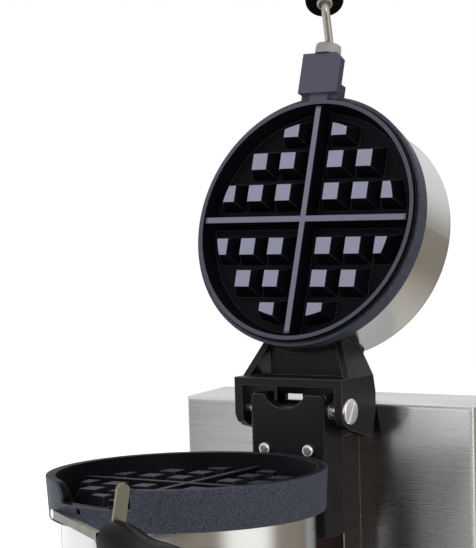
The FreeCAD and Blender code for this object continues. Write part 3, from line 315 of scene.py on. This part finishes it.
def land_mask(tree, away, inward, low, high):
    """Surfaces that face out of the mould and lie between low and high behind the plane of the tops."""
    depth = dot(tree, away, inward, (-800, 200))
    shallow = ramp(tree, depth, high, low, (-600, 250))
    geometry = add(tree, "ShaderNodeNewGeometry", (-1200, -50))
    turned = add(tree, "ShaderNodeVectorTransform", (-1000, -50), vector_type="NORMAL", convert_from="WORLD",
                 convert_to="OBJECT")
    tree.links.new(geometry.outputs["True Normal"], turned.inputs[0])
    outward = dot(tree, turned.outputs[0], -Vector(inward), (-800, -50))
    return product(tree, shallow, ramp(tree, outward, 0.93, 0.985, (-600, 50)), (-350, 150))


def radius_masks(tree, away, inward):
    """The outer wall and the raised ring, by the distance from the mould's own axis."""
    across = add(tree, "ShaderNodeVectorMath", (-800, 400), operation="CROSS_PRODUCT", in_1=tuple(inward))
    reach = add(tree, "ShaderNodeVectorMath", (-700, 400), operation="LENGTH")
    tree.links.new(away, across.inputs[0])
    tree.links.new(across.outputs[0], reach.inputs[0])
    wall = ramp(tree, reach.outputs["Value"], wall_from, wall_full, (-550, 420))
    ring = ramp(tree, reach.outputs["Value"], ring_from, ring_full, (-550, 560))
    return wall, ring


def rib_mask(tree, away, along):
    """The cross of ribs: points close to one of the mould's two middle lines."""
    nearest = add(tree, "ShaderNodeMath", (-500, 700), operation="MINIMUM")
    for socket, direction in zip(nearest.inputs, ((1.0, 0.0, 0.0), along)):
        size = add(tree, "ShaderNodeMath", (-650, 700), operation="ABSOLUTE")
        tree.links.new(dot(tree, away, direction, (-800, 700)), size.inputs[0])
        tree.links.new(size.outputs[0], socket)
    return ramp(tree, nearest.outputs[0], rib_half_out, rib_half_in, (-350, 700))


print("grid masks: wall from radius", round(wall_from, 4), "ring from", round(ring_from, 4))

# %% [markdown]
# The finish puts those masks together. The colours go from the dark of the valleys, through the speckled outer
# wall with its painted sheen, to the tops with their painted sheen, which the speckle breaks up. The ribs and
# the ring get less of that painted sheen.

# %% Grid casting finish
valley_dark, valley_light = (0.0018, 0.0018, 0.0028, 1), (0.0036, 0.0036, 0.0054, 1)
# The outer wall's paler blue speckle is partly cast grain and partly a painted sheen of the soft light the wall
# reflects.
wall_dark, wall_speckle_and_sheen = (0.017, 0.018, 0.027, 1), (0.056, 0.061, 0.080, 1)
# Pale edge tone: real wear on outer corners, and a painted highlight along the hollow junctions of walls and
# floors, which the edge mask also finds.
worn_and_highlit_edge = (0.13, 0.13, 0.16, 1)


def scaled(colour, factor):
    """A colour made darker or lighter, with its alpha left at one."""
    return tuple(min(1.0, part * factor) for part in colour[:3]) + (1,)


def grid_finish(name, plane_point, inward, along, pale, patchy, low=0.0004, high=0.0012):
    """Dark casting with a painted sheen on its tops; patchy says how much the speckle breaks that painted sheen up.
    """
    material, tree, shader = new_material(name, Metallic=0.0, IOR=1.30, Specular_IOR_Level=0.10)
    link = tree.links.new
    skin = place_group(tree, cast_skin, (-600, -200), Grain_Scale=1400.0, Mottle_Scale=35.0)
    wear = place_group(tree, edge_wear_and_highlight, (-600, -500), Radius=0.0009, Patchiness=0.35, Scale=160.0)
    coords = add(tree, "ShaderNodeTexCoord", (-1200, 200))
    away = add(tree, "ShaderNodeVectorMath", (-1000, 200), operation="SUBTRACT", in_1=tuple(plane_point))
    link(coords.outputs["Object"], away.inputs[0])
    land = land_mask(tree, away.outputs[0], inward, low, high)
    outer, ring = radius_masks(tree, away.outputs[0], inward)
    # Painted sheen: the tops get a paler colour that stands for the light they catch, less of it on the ribs and
    # least on the ring.
    tops = colour_mix(tree, rib_mask(tree, away.outputs[0], along), pale, scaled(pale, 0.62), (-200, 600))
    tops = colour_mix(tree, ring, tops, scaled(pale, 0.30), (-100, 500))
    speckle = ramp(tree, skin.outputs["Height"], 0.40, 0.60, (-350, 300))
    rubbed = ramp(tree, speckle, 0.0, 1.0, (-200, 300), 1.0 - patchy, 1.0)
    sheen_mask = product(tree, land, rubbed, (-100, 200))
    valley = colour_mix(tree, skin.outputs["Mottle"], valley_dark, valley_light, (-350, -50))
    # Outer wall: speckle, with a painted sheen in its paler tone.
    wall = colour_mix(tree, speckle, wall_dark, wall_speckle_and_sheen, (-200, -100))
    base = colour_mix(tree, outer, valley, wall, (-50, 0))
    base = colour_mix(tree, sheen_mask, base, tops, (50, 50))
    # Edges: worn on the corners, painted highlight in the hollow junctions.
    worn = product(tree, wear.outputs["Mask"], 0.4, (-350, -500))
    link(colour_mix(tree, worn, base, worn_and_highlit_edge, (150, 0)), shader.inputs["Base Color"])
    link(ramp(tree, skin.outputs["Mottle"], 0.3, 0.7, (300, -150), 0.38, 0.50), shader.inputs["Roughness"])
    bump(tree, shader, skin.outputs["Height"], 0.00012, 0.8, rounded_normal(tree, 0.0009))
    return material


# Painted light: the upper grid faces the light and gets a top sheen about five times paler than the lower grid,
# which lies in shade.
lower_casting = grid_finish("seasoned_lower_grid", (grid_centre.x, grid_centre.y, land_level), (0, 0, -1),
                            (0, 1, 0), (0.034, 0.034, 0.048, 1), 0.85)
upper_casting = grid_finish("seasoned_upper_grid", face_point, face_back, head_outward,
                            (0.175, 0.175, 0.235, 1), 0.20)
print("land level", round(land_level, 4), "face direction", [round(c, 3) for c in face_back])

# %% [markdown]
# ## Finish: brushed stainless
# The base, cabinet and shells are brushed stainless sheet. Flat sheet is brushed sideways, round shells are
# brushed round their length, so the grain's stretch is set for each. Metallic is a plain 1 and the colour a
# plain grey, with darker streaks, apart from the neck, which shares the recipe but has a near-black tint. Every
# edge gets a near-white painted highlight.
# Scratches that run sideways smear a reflection up and down, which shows most on the cabinet's wide front: its
# finish is anisotropic, with the spread turned upright.

# %% Stainless finishes
sideways, round_axis, upright = (12.0, 1300.0, 1300.0), (14.0, 14.0, 1300.0), (1600.0, 1600.0, 30.0)
plain_tint, cabinet_tint, neck_tint = (0.66, 0.665, 0.67, 1), (0.74, 0.745, 0.75, 1), (0.046, 0.031, 0.027, 1)
# Near-white painted highlight for the steel's edges.
painted_edge_highlight = (0.90, 0.90, 0.89, 1)


def stainless_finish(name, stretch, roughness, tint, streaks, lean=0.0, upright_spread=0.0):
    """Brushed steel: stretch sets the grain's direction, roughness its range, streaks how dark scratches are."""
    material, tree, shader = new_material(name, Metallic=1.0, Anisotropic=upright_spread)
    link = tree.links.new
    if upright_spread:
        shader.inputs["Anisotropic Rotation"].default_value = 0.25
        around = add(tree, "ShaderNodeTangent", (300, -500), direction_type="RADIAL", axis="Z")
        link(around.outputs[0], shader.inputs["Tangent"])
    grain = place_group(tree, brushed, (-400, 0), Stretch=stretch, Rough_Low=roughness[0],
                        Rough_High=roughness[1], Smudge=0.45, Lean=lean)
    body = colour_mix(tree, grain.outputs["Tone"], scaled(tint, 0.84), tint, (0, 150))
    streak = ramp(tree, grain.outputs["Height"], 0.54, 0.38, (0, 300))
    body = colour_mix(tree, streak, body, scaled(tint, streaks), (200, 150))
    # Painted highlight: the edge mask turns the colour near-white along every edge.
    rim = place_group(tree, edge_wear_and_highlight, (-400, 400), Radius=0.0012, Patchiness=0.0, Scale=100.0)
    link(colour_mix(tree, rim.outputs["Mask"], body, painted_edge_highlight, (400, 250)), shader.inputs["Base Color"])
    link(grain.outputs["Roughness"], shader.inputs["Roughness"])
    bump(tree, shader, grain.outputs["Height"], 0.000004, 0.5, rounded_normal(tree, 0.0006))
    return material


sheet_steel = stainless_finish("brushed_sheet", sideways, (0.13, 0.21), plain_tint, 0.84)
cabinet_steel = stainless_finish("brushed_cabinet", sideways, (0.24, 0.33), cabinet_tint, 0.84, upright_spread=0.95)
shell_steel = stainless_finish("brushed_shell", round_axis, (0.16, 0.26), plain_tint, 0.88)
cover_steel = stainless_finish("brushed_cover", round_axis, (0.16, 0.26), plain_tint, 0.86, lean=open_turn)
neck_steel = stainless_finish("brushed_neck", upright, (0.14, 0.22), neck_tint, 0.80)
print("stainless finishes: 5")

# %% [markdown]
# ## Finish: satin black hinge
# The hinge bracket and clevis are iron with a satin black finish. Their edges show a thin paler line where
# the finish has rubbed away, which is what makes their outlines readable against each other.

# %% Black hinge finish
def painted_black(name, body, rubbed, roughness, wear_radius):
    material, tree, shader = new_material(name, IOR=1.4, Specular_IOR_Level=0.25)
    link = tree.links.new
    skin = place_group(tree, cast_skin, (-500, -100), Grain_Scale=1800.0, Mottle_Scale=30.0)
    wear = place_group(tree, edge_wear_and_highlight, (-500, -400), Radius=wear_radius, Patchiness=0.5, Scale=240.0)
    base = colour_mix(tree, skin.outputs["Mottle"], body, scaled(body, 1.7), (-200, 50))
    worn = product(tree, wear.outputs["Mask"], 0.80, (-200, -400))
    link(colour_mix(tree, worn, base, rubbed, (50, 0)), shader.inputs["Base Color"])
    link(ramp(tree, skin.outputs["Mottle"], 0.3, 0.7, (250, -100), *roughness), shader.inputs["Roughness"])
    bump(tree, shader, skin.outputs["Height"], 0.00006, 0.5, rounded_normal(tree, 0.0008))
    return material


hinge_black = painted_black("satin_black_hinge", (0.0045, 0.0038, 0.0048, 1), (0.15, 0.14, 0.15, 1),
                            (0.31, 0.44), 0.0009)
print("finish", hinge_black.name)

# %% [markdown]
# ## Finishes: bright steel, plain steel and bronze
# Screws are zinc-plated: bright and a little soft. The handle rod and its nut are duller, and the plain strip of
# the lower handle is darker still, with bright edges that are partly rubbed wear and partly a painted highlight
# of the light its edge faces catch. All share one recipe with their own tint, roughness
# and the brightness of their worn edges.

# %% Small metal finishes
def small_metal(name, tint, rough_low, rough_high, worn=1.15):
    material, tree, shader = new_material(name, Metallic=1.0)
    link = tree.links.new
    skin = place_group(tree, cast_skin, (-500, 0), Grain_Scale=2600.0, Mottle_Scale=90.0)
    wear = place_group(tree, edge_wear_and_highlight, (-500, -400), Radius=0.0005, Patchiness=0.4, Scale=300.0)
    base = colour_mix(tree, skin.outputs["Mottle"], scaled(tint, 0.72), tint, (-200, 50))
    base = colour_mix(tree, wear.outputs["Mask"], base, scaled(tint, worn), (50, 0))
    link(base, shader.inputs["Base Color"])
    link(ramp(tree, skin.outputs["Mottle"], 0.3, 0.7, (250, -100), rough_low, rough_high),
         shader.inputs["Roughness"])
    bump(tree, shader, skin.outputs["Height"], 0.00003, 0.4, rounded_normal(tree, 0.0004))
    return material


bright_steel = small_metal("bright_zinc", (0.80, 0.78, 0.80, 1), 0.26, 0.38)
rod_steel = small_metal("handle_rod_steel", (0.44, 0.42, 0.38, 1), 0.22, 0.34)
nut_steel = small_metal("handle_nut_steel", (0.36, 0.36, 0.35, 1), 0.30, 0.42)
# The strip's edges are three times brighter: rubbed wear together with a painted highlight.
strip_steel = small_metal("plain_strip", (0.155, 0.148, 0.118, 1), 0.26, 0.40, worn=3.2)
plate_steel = small_metal("zinc_plate", (0.55, 0.56, 0.58, 1), 0.30, 0.45)
heater_steel = small_metal("heat_tinted_tube", (0.34, 0.28, 0.24, 1), 0.38, 0.55)
bronze = small_metal("sintered_bronze", (0.62, 0.42, 0.22, 1), 0.35, 0.50)
print("small metal finishes: 7")

# %% [markdown]
# ## Finish: hinge pin with painted shade
# The pin shows its plated head outside the ears, but between the bracket's cheeks, where shade falls, it is
# painted near-black as painted shade. The two looks meet where the bushes are, so the distance from the middle
# of the pin makes the mask. The painted shade is not metal, so the mask also drives Metallic.

# %% Pin finish with painted shade
# Near-black tones painted on the pin's middle, between the cheeks, as shade.
pin_shade_dark, pin_shade_brown = (0.004, 0.004, 0.004, 1), (0.012, 0.010, 0.008, 1)
pin_dull, pin_clean, pin_worn = (0.66, 0.64, 0.67, 1), (0.84, 0.82, 0.85, 1), (0.95, 0.94, 0.95, 1)


def shade_painted_pin(name, half_width):
    material, tree, shader = new_material(name)
    link = tree.links.new
    skin = place_group(tree, cast_skin, (-600, 0), Grain_Scale=2600.0, Mottle_Scale=90.0)
    wear = place_group(tree, edge_wear_and_highlight, (-600, -400), Radius=0.0006, Patchiness=0.4, Scale=300.0)
    coords = add(tree, "ShaderNodeTexCoord", (-1000, 300))
    axes = add(tree, "ShaderNodeSeparateXYZ", (-850, 300))
    size = add(tree, "ShaderNodeMath", (-700, 300), operation="ABSOLUTE")
    link(coords.outputs["Object"], axes.inputs[0])
    link(axes.outputs["X"], size.inputs[0])
    plated = ramp(tree, size.outputs[0], half_width - 0.001, half_width, (-500, 300))
    steel = colour_mix(tree, skin.outputs["Mottle"], pin_dull, pin_clean, (-300, 150))
    steel = colour_mix(tree, wear.outputs["Mask"], steel, pin_worn, (-150, 150))
    # Painted shade: between the cheeks the pin is near-black and not metal.
    pin_shade = colour_mix(tree, skin.outputs["Mottle"], pin_shade_dark, pin_shade_brown, (-300, 0))
    link(colour_mix(tree, plated, pin_shade, steel, (50, 100)), shader.inputs["Base Color"])
    link(plated, shader.inputs["Metallic"])
    link(ramp(tree, skin.outputs["Mottle"], 0.3, 0.7, (200, -100), 0.24, 0.38), shader.inputs["Roughness"])
    bump(tree, shader, skin.outputs["Height"], 0.00003, 0.4, rounded_normal(tree, 0.0005))
    return material


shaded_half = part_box("hinge_bracket")[1].x - 0.001
pin_finish = shade_painted_pin("shade_painted_hinge_pin", shaded_half)
print("pin is plated outside", round(shaded_half, 4))

# %% [markdown]
# ## Finishes: plastics, rubber, ceramic and wool
# Moulded plastic has a very fine, even texture and a soft sheen, rubber is rougher and greyer, ceramic is
# glazed, and the wool behind the heaters is matt and fibrous. One recipe, with a colour, a roughness range
# and a grain size, covers all of them.

# %% Moulded finishes
def moulded(name, colour, lighter, rough_low, rough_high, grain=2400.0, relief=0.00003, **extra):
    material, tree, shader = new_material(name, **extra)
    link = tree.links.new
    skin = place_group(tree, cast_skin, (-500, 0), Grain_Scale=grain, Mottle_Scale=60.0)
    link(colour_mix(tree, skin.outputs["Mottle"], colour, lighter, (-200, 50)), shader.inputs["Base Color"])
    link(ramp(tree, skin.outputs["Mottle"], 0.3, 0.7, (50, -100), rough_low, rough_high),
         shader.inputs["Roughness"])
    bump(tree, shader, skin.outputs["Height"], relief, 0.5, rounded_normal(tree, 0.0006))
    return material


grip_black = moulded("grip_black", (0.0018, 0.0018, 0.0018, 1), (0.0036, 0.0034, 0.0034, 1), 0.26, 0.38,
                     IOR=1.18, Specular_IOR_Level=0.10)
plastic_black = moulded("control_black", (0.010, 0.010, 0.011, 1), (0.020, 0.020, 0.021, 1), 0.38, 0.50)
rubber = moulded("foot_rubber", (0.018, 0.018, 0.018, 1), (0.035, 0.034, 0.033, 1), 0.62, 0.78,
                 grain=1500.0, relief=0.00006)
rocker_red = moulded("rocker_red", (0.42, 0.018, 0.012, 1), (0.55, 0.030, 0.020, 1), 0.22, 0.32)
lens_green = moulded("lens_green", (0.010, 0.28, 0.060, 1), (0.030, 0.42, 0.10, 1), 0.12, 0.20,
                     Transmission_Weight=0.25)
lens_amber = moulded("lens_amber", (0.62, 0.22, 0.015, 1), (0.80, 0.34, 0.030, 1), 0.12, 0.20,
                     Transmission_Weight=0.25)
ceramic = moulded("glazed_ceramic", (0.72, 0.69, 0.61, 1), (0.82, 0.79, 0.72, 1), 0.18, 0.28)
wool = moulded("mineral_wool", (0.50, 0.47, 0.38, 1), (0.70, 0.67, 0.58, 1), 0.85, 0.95,
               grain=700.0, relief=0.0006)
print("moulded finishes: 8")

# %% [markdown]
# ## Put the finishes on the CAD pieces
# Each CAD node takes the finish of its material slot. A few nodes share a slot but differ in the direction of
# their grain, in their tint or in where their pale tops lie, so they are named on their own.

# %% Assign finishes
finish_of_slot = {
    "grid_casting": lower_casting, "stainless": sheet_steel, "hinge_black": hinge_black,
    "bright_steel": bright_steel, "strip_steel": strip_steel, "heater_steel": heater_steel,
    "plate_steel": plate_steel, "bronze": bronze, "grip_black": grip_black, "rubber_foot": rubber,
    "wool": wool, "ceramic": ceramic, "black_plastic": plastic_black, "rocker_red": rocker_red,
    "lamp_green": lens_green, "lamp_amber": lens_amber,
}
finish_of_node = {
    "upper_grid": upper_casting, "lower_shell": shell_steel, "upper_cover": cover_steel, "neck": neck_steel,
    "rear_cabinet": cabinet_steel, "upper_handle_rod": rod_steel, "upper_handle_nut": nut_steel,
    "upper_grip_ferrule": rod_steel, "hinge_pin": pin_finish,
}
for name, obj in nodes.items():
    finish = finish_of_node.get(name) or finish_of_slot[slot_of[name]]
    for material_slot in obj.material_slots:
        material_slot.material = finish
print("finished nodes:", len(nodes))

# %% [markdown]
# ## Dial scale and knob pointer
# The thermostat needs marks to be read by. On a real panel they are printed or etched; here each is a very thin
# raised bar, which catches light at its edges as print does not but stays crisp from close by. The scale stays
# on the base, and the pointer rides on the knob, so it turns with it.

# %% Dial helpers
end_taper, end_length = 0.7, 0.0004


def bar(mesh, centre, angle, inner, outer, half_width, y_back, y_front):
    """One thin bar of a dial, between two radii, with slightly narrowed ends."""
    along = Vector((math.sin(angle), 0, math.cos(angle)))
    side = Vector((math.cos(angle), 0, -math.sin(angle)))
    stations = ((inner, end_taper), (inner + end_length, 1.0), (outer - end_length, 1.0), (outer, end_taper))
    rows = []
    for y in (y_back, y_front):
        row = []
        for radius, width in stations:
            for sign in (-1, 1):
                point = Vector((centre.x, 0, centre.z)) + along * radius + side * (sign * half_width * width)
                row.append(mesh.verts.new((point.x, y, point.z)))
        rows.append(row)
    order = [0, 2, 4, 6, 7, 5, 3, 1]
    mesh.faces.new([rows[1][i] for i in order])
    mesh.faces.new([rows[0][i] for i in reversed(order)])
    for i, j in zip(order, order[1:] + order[:1]):
        mesh.faces.new([rows[0][i], rows[0][j], rows[1][j], rows[1][i]])


def marks(name, bars, finish, body):
    """A set of bars as one piece that rides on a body."""
    mesh = bmesh.new()
    for values in bars:
        bar(mesh, *values)
    bmesh.ops.recalc_face_normals(mesh, faces=mesh.faces)
    data = bpy.data.meshes.new(name)
    mesh.to_mesh(data)
    mesh.free()
    data.materials.append(finish)
    piece = bpy.data.objects.new(name, data)
    bpy.context.scene.collection.objects.link(piece)
    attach(piece, body)


print("dial helpers: bar, marks")

# %% [markdown]
# The scale has eleven marks over the knob's 270 degrees, every fifth one longer, with a small gap to the knob.
# The pointer is a pale bar let a little into the knob's face.

# %% Marks round the knob
knob_low, knob_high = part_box("thermostat_knob")
panel_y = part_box("base_cover")[0].y
knob_centre = (knob_low + knob_high) / 2
knob_radius = (knob_high.x - knob_low.x) / 2
mark_step, mark_count, mark_gap, mark_rise = 27, 11, 0.0022, 0.00015
scale = [(knob_centre, math.radians(mark_step * step), knob_radius + mark_gap,
          knob_radius + (0.0058 if step % 5 == 0 else 0.0044), 0.0004, panel_y, panel_y - mark_rise)
         for step in range(mark_count)]
ink = moulded("dial_ink", (0.012, 0.012, 0.012, 1), (0.025, 0.025, 0.025, 1), 0.45, 0.60)
marks("dial_scale", scale, ink, "base")
white_ink = moulded("pointer_ink", (0.70, 0.70, 0.68, 1), (0.82, 0.82, 0.80, 1), 0.40, 0.55)
pointer = [(knob_centre, 0.0, knob_radius * 0.30, knob_radius * 0.78, 0.0005,
            knob_low.y + 0.0001, knob_low.y - mark_rise)]
marks("knob_pointer", pointer, white_ink, "knob")
print("dial marks:", len(scale), "pointer on a knob of radius", round(knob_radius, 4))

# %% [markdown]
# ## Floor
# A pale table top that fades out into a pale surround, so no horizon cuts behind the object. It glows a little,
# which lifts the shadow, and metal does not reflect it, so the surround alone shades the steel.

# %% Floor
floor_radius = 2.6


def make_floor(radius):
    mesh = bmesh.new()
    bmesh.ops.create_circle(mesh, cap_ends=True, cap_tris=False, segments=96, radius=radius)
    data = bpy.data.meshes.new("studio_floor")
    mesh.to_mesh(data)
    mesh.free()
    floor = bpy.data.objects.new("studio_floor", data)
    bpy.context.scene.collection.objects.link(floor)
    return floor


floor = make_floor(floor_radius)
material, tree, shader = new_material("pale_floor", Roughness=0.85, Emission_Color=(1, 1, 1, 1),
                                      Emission_Strength=0.30)
coords = add(tree, "ShaderNodeTexCoord", (-900, 0))
speckle = noise(tree, coords.outputs["Object"], (-700, 200), scale=3.0, detail=3.0)
pale = colour_mix(tree, speckle.outputs[0], (0.86, 0.86, 0.86, 1), (0.90, 0.90, 0.90, 1), (-400, 200))
tree.links.new(pale, shader.inputs["Base Color"])
reach = add(tree, "ShaderNodeVectorMath", (-700, -100), operation="LENGTH")
tree.links.new(coords.outputs["Object"], reach.inputs[0])
tree.links.new(ramp(tree, reach.outputs["Value"], 2.4, 0.9, (-400, -100)), shader.inputs["Alpha"])
floor.data.materials.append(material)
floor.visible_glossy = False
print("floor radius", floor_radius)

# %% [markdown]
# ## Surround
# The camera sees a plain white background. Metal sees a studio instead, which is what gives brushed steel its
# shading: pale above, bright at the far left and the far right, a narrow bright window to the left of the front,
# and dim between them. Each part of it is a mask over the directions that a reflection can take.

# %% Directions of the surround
world = bpy.data.worlds.new("studio")
bpy.context.scene.world = world
world.use_nodes = True
tree = world.node_tree
tree.nodes.clear()
coords = add(tree, "ShaderNodeTexCoord", (-1000, 0))
axes = add(tree, "ShaderNodeSeparateXYZ", (-800, 0))
tree.links.new(coords.outputs["Generated"], axes.inputs[0])
above = ramp(tree, axes.outputs["Z"], -0.04, 0.22, (-600, 200))
beneath = ramp(tree, axes.outputs["Z"], -0.35, -0.70, (-600, 350))
rightward = ramp(tree, axes.outputs["X"], -0.30, 0.50, (-600, 0))
far_right = ramp(tree, axes.outputs["X"], 0.85, 0.95, (-600, 100))
far_left = ramp(tree, axes.outputs["X"], -0.72, -0.82, (-600, -200))
ahead = ramp(tree, axes.outputs["Y"], 0.0, -0.35, (-600, -400))


def between(low_edge, high_edge, place):
    """Directions ahead of the object whose sideways part lies between two soft edges."""
    left_side = ramp(tree, axes.outputs["X"], *low_edge, place)
    right_side = ramp(tree, axes.outputs["X"], *high_edge, (place[0], place[1] - 150))
    both = product(tree, left_side, right_side, (place[0] + 200, place[1]))
    return product(tree, ahead, both, (place[0] + 350, place[1]))


window = between((-0.535, -0.500), (-0.26, -0.36), (-600, -550))
middle = between((-0.36, -0.26), (0.35, 0.15), (-600, -850))
print("surround masks: 8")

# %% [markdown]
# The tones go on one over the other, from the dim room to the pale ceiling. Light Path then shows the plain
# white to the camera and the studio to everything else.

# %% Tones of the surround
room = colour_mix(tree, rightward, (0.07, 0.07, 0.085, 1), (0.33, 0.29, 0.235, 1), (-400, 0))
for mask, tone in ((middle, (0.66, 0.65, 0.63, 1)), (window, (2.3, 2.3, 2.27, 1)),
                   (far_right, (1.45, 1.42, 1.34, 1)), (far_left, (1.35, 1.35, 1.34, 1)),
                   (beneath, (0.74, 0.69, 0.60, 1)), (above, (0.92, 0.92, 0.91, 1))):
    room = colour_mix(tree, mask, room, tone, (-300, 0))
studio = add(tree, "ShaderNodeBackground", (-100, 100))
tree.links.new(room, studio.inputs["Color"])
plain = add(tree, "ShaderNodeBackground", (-100, -100))
plain.inputs["Color"].default_value = (1.0, 1.0, 1.0, 1)
path = add(tree, "ShaderNodeLightPath", (-100, 350))
choose = add(tree, "ShaderNodeMixShader", (200, 0))
tree.links.new(path.outputs["Is Camera Ray"], choose.inputs[0])
tree.links.new(studio.outputs[0], choose.inputs[1])
tree.links.new(plain.outputs[0], choose.inputs[2])
out = add(tree, "ShaderNodeOutputWorld", (400, 0))
tree.links.new(choose.outputs[0], out.inputs["Surface"])
print("surround nodes:", len(tree.nodes))

# %% [markdown]
# ## Lights
# Three large soft boxes: the main one from the front left, a weaker one from the right, and one overhead. Only
# the right one shows in the metal, as a soft highlight; the others would repeat what the surround already does.

# %% Lights
def softbox(name, place, target, size, power, shows_in_metal):
    data = bpy.data.lights.new(name, "AREA")
    data.shape = "RECTANGLE"
    data.size, data.size_y = size
    data.energy = power
    light = bpy.data.objects.new(name, data)
    light.location = place
    light.rotation_euler = (Vector(target) - Vector(place)).to_track_quat("-Z", "Y").to_euler()
    light.visible_camera = False
    light.visible_glossy = shows_in_metal
    bpy.context.scene.collection.objects.link(light)


softbox("key_left", (-1.2, -1.3, 1.6), (0, 0.0, 0.22), (1.7, 1.7), 36, False)
softbox("fill_right", (1.7, -0.9, 1.3), (0, 0.05, 0.28), (0.7, 1.2), 9, True)
softbox("top", (0.1, 0.2, 2.0), (0, 0.0, 0.2), (2.2, 2.2), 16, False)

# %% [markdown]
# ## Camera
# A long lens a little above the rim, turned to the right of the front. The lens looks at the hinge with almost no
# tilt, and its shift lifts the frame to take in the open head while upright edges stay nearly upright.

# %% Camera
azimuth, pitch, roll = math.radians(32.35), math.radians(6.11), math.radians(-1.42)
distance = 1.41074
forward = Vector((-math.sin(azimuth) * math.cos(pitch), math.cos(azimuth) * math.cos(pitch), -math.sin(pitch)))
level_right = Vector((math.cos(azimuth), math.sin(azimuth), 0))
level_up = level_right.cross(forward)
right = level_right * math.cos(roll) + level_up * math.sin(roll)
up = level_up * math.cos(roll) - level_right * math.sin(roll)
camera_data = bpy.data.cameras.new("camera")
camera = bpy.data.objects.new("camera", camera_data)
bpy.context.scene.collection.objects.link(camera)
camera.matrix_world = Matrix((
    (right.x, up.x, -forward.x, 0), (right.y, up.y, -forward.y, 0), (right.z, up.z, -forward.z, 0), (0, 0, 0, 1)))
camera.location = hinge_point - forward * distance
camera_data.sensor_width = 36.0
camera_data.lens = 124.1
camera_data.shift_x = -0.1038
camera_data.shift_y = 0.2469
camera_data.clip_start = 0.05
camera_data.clip_end = 60.0
camera_data.dof.use_dof = False
bpy.context.scene.camera = camera
bpy.context.scene.view_settings.view_transform = "Standard"
print("camera at", [round(c, 3) for c in camera.location])
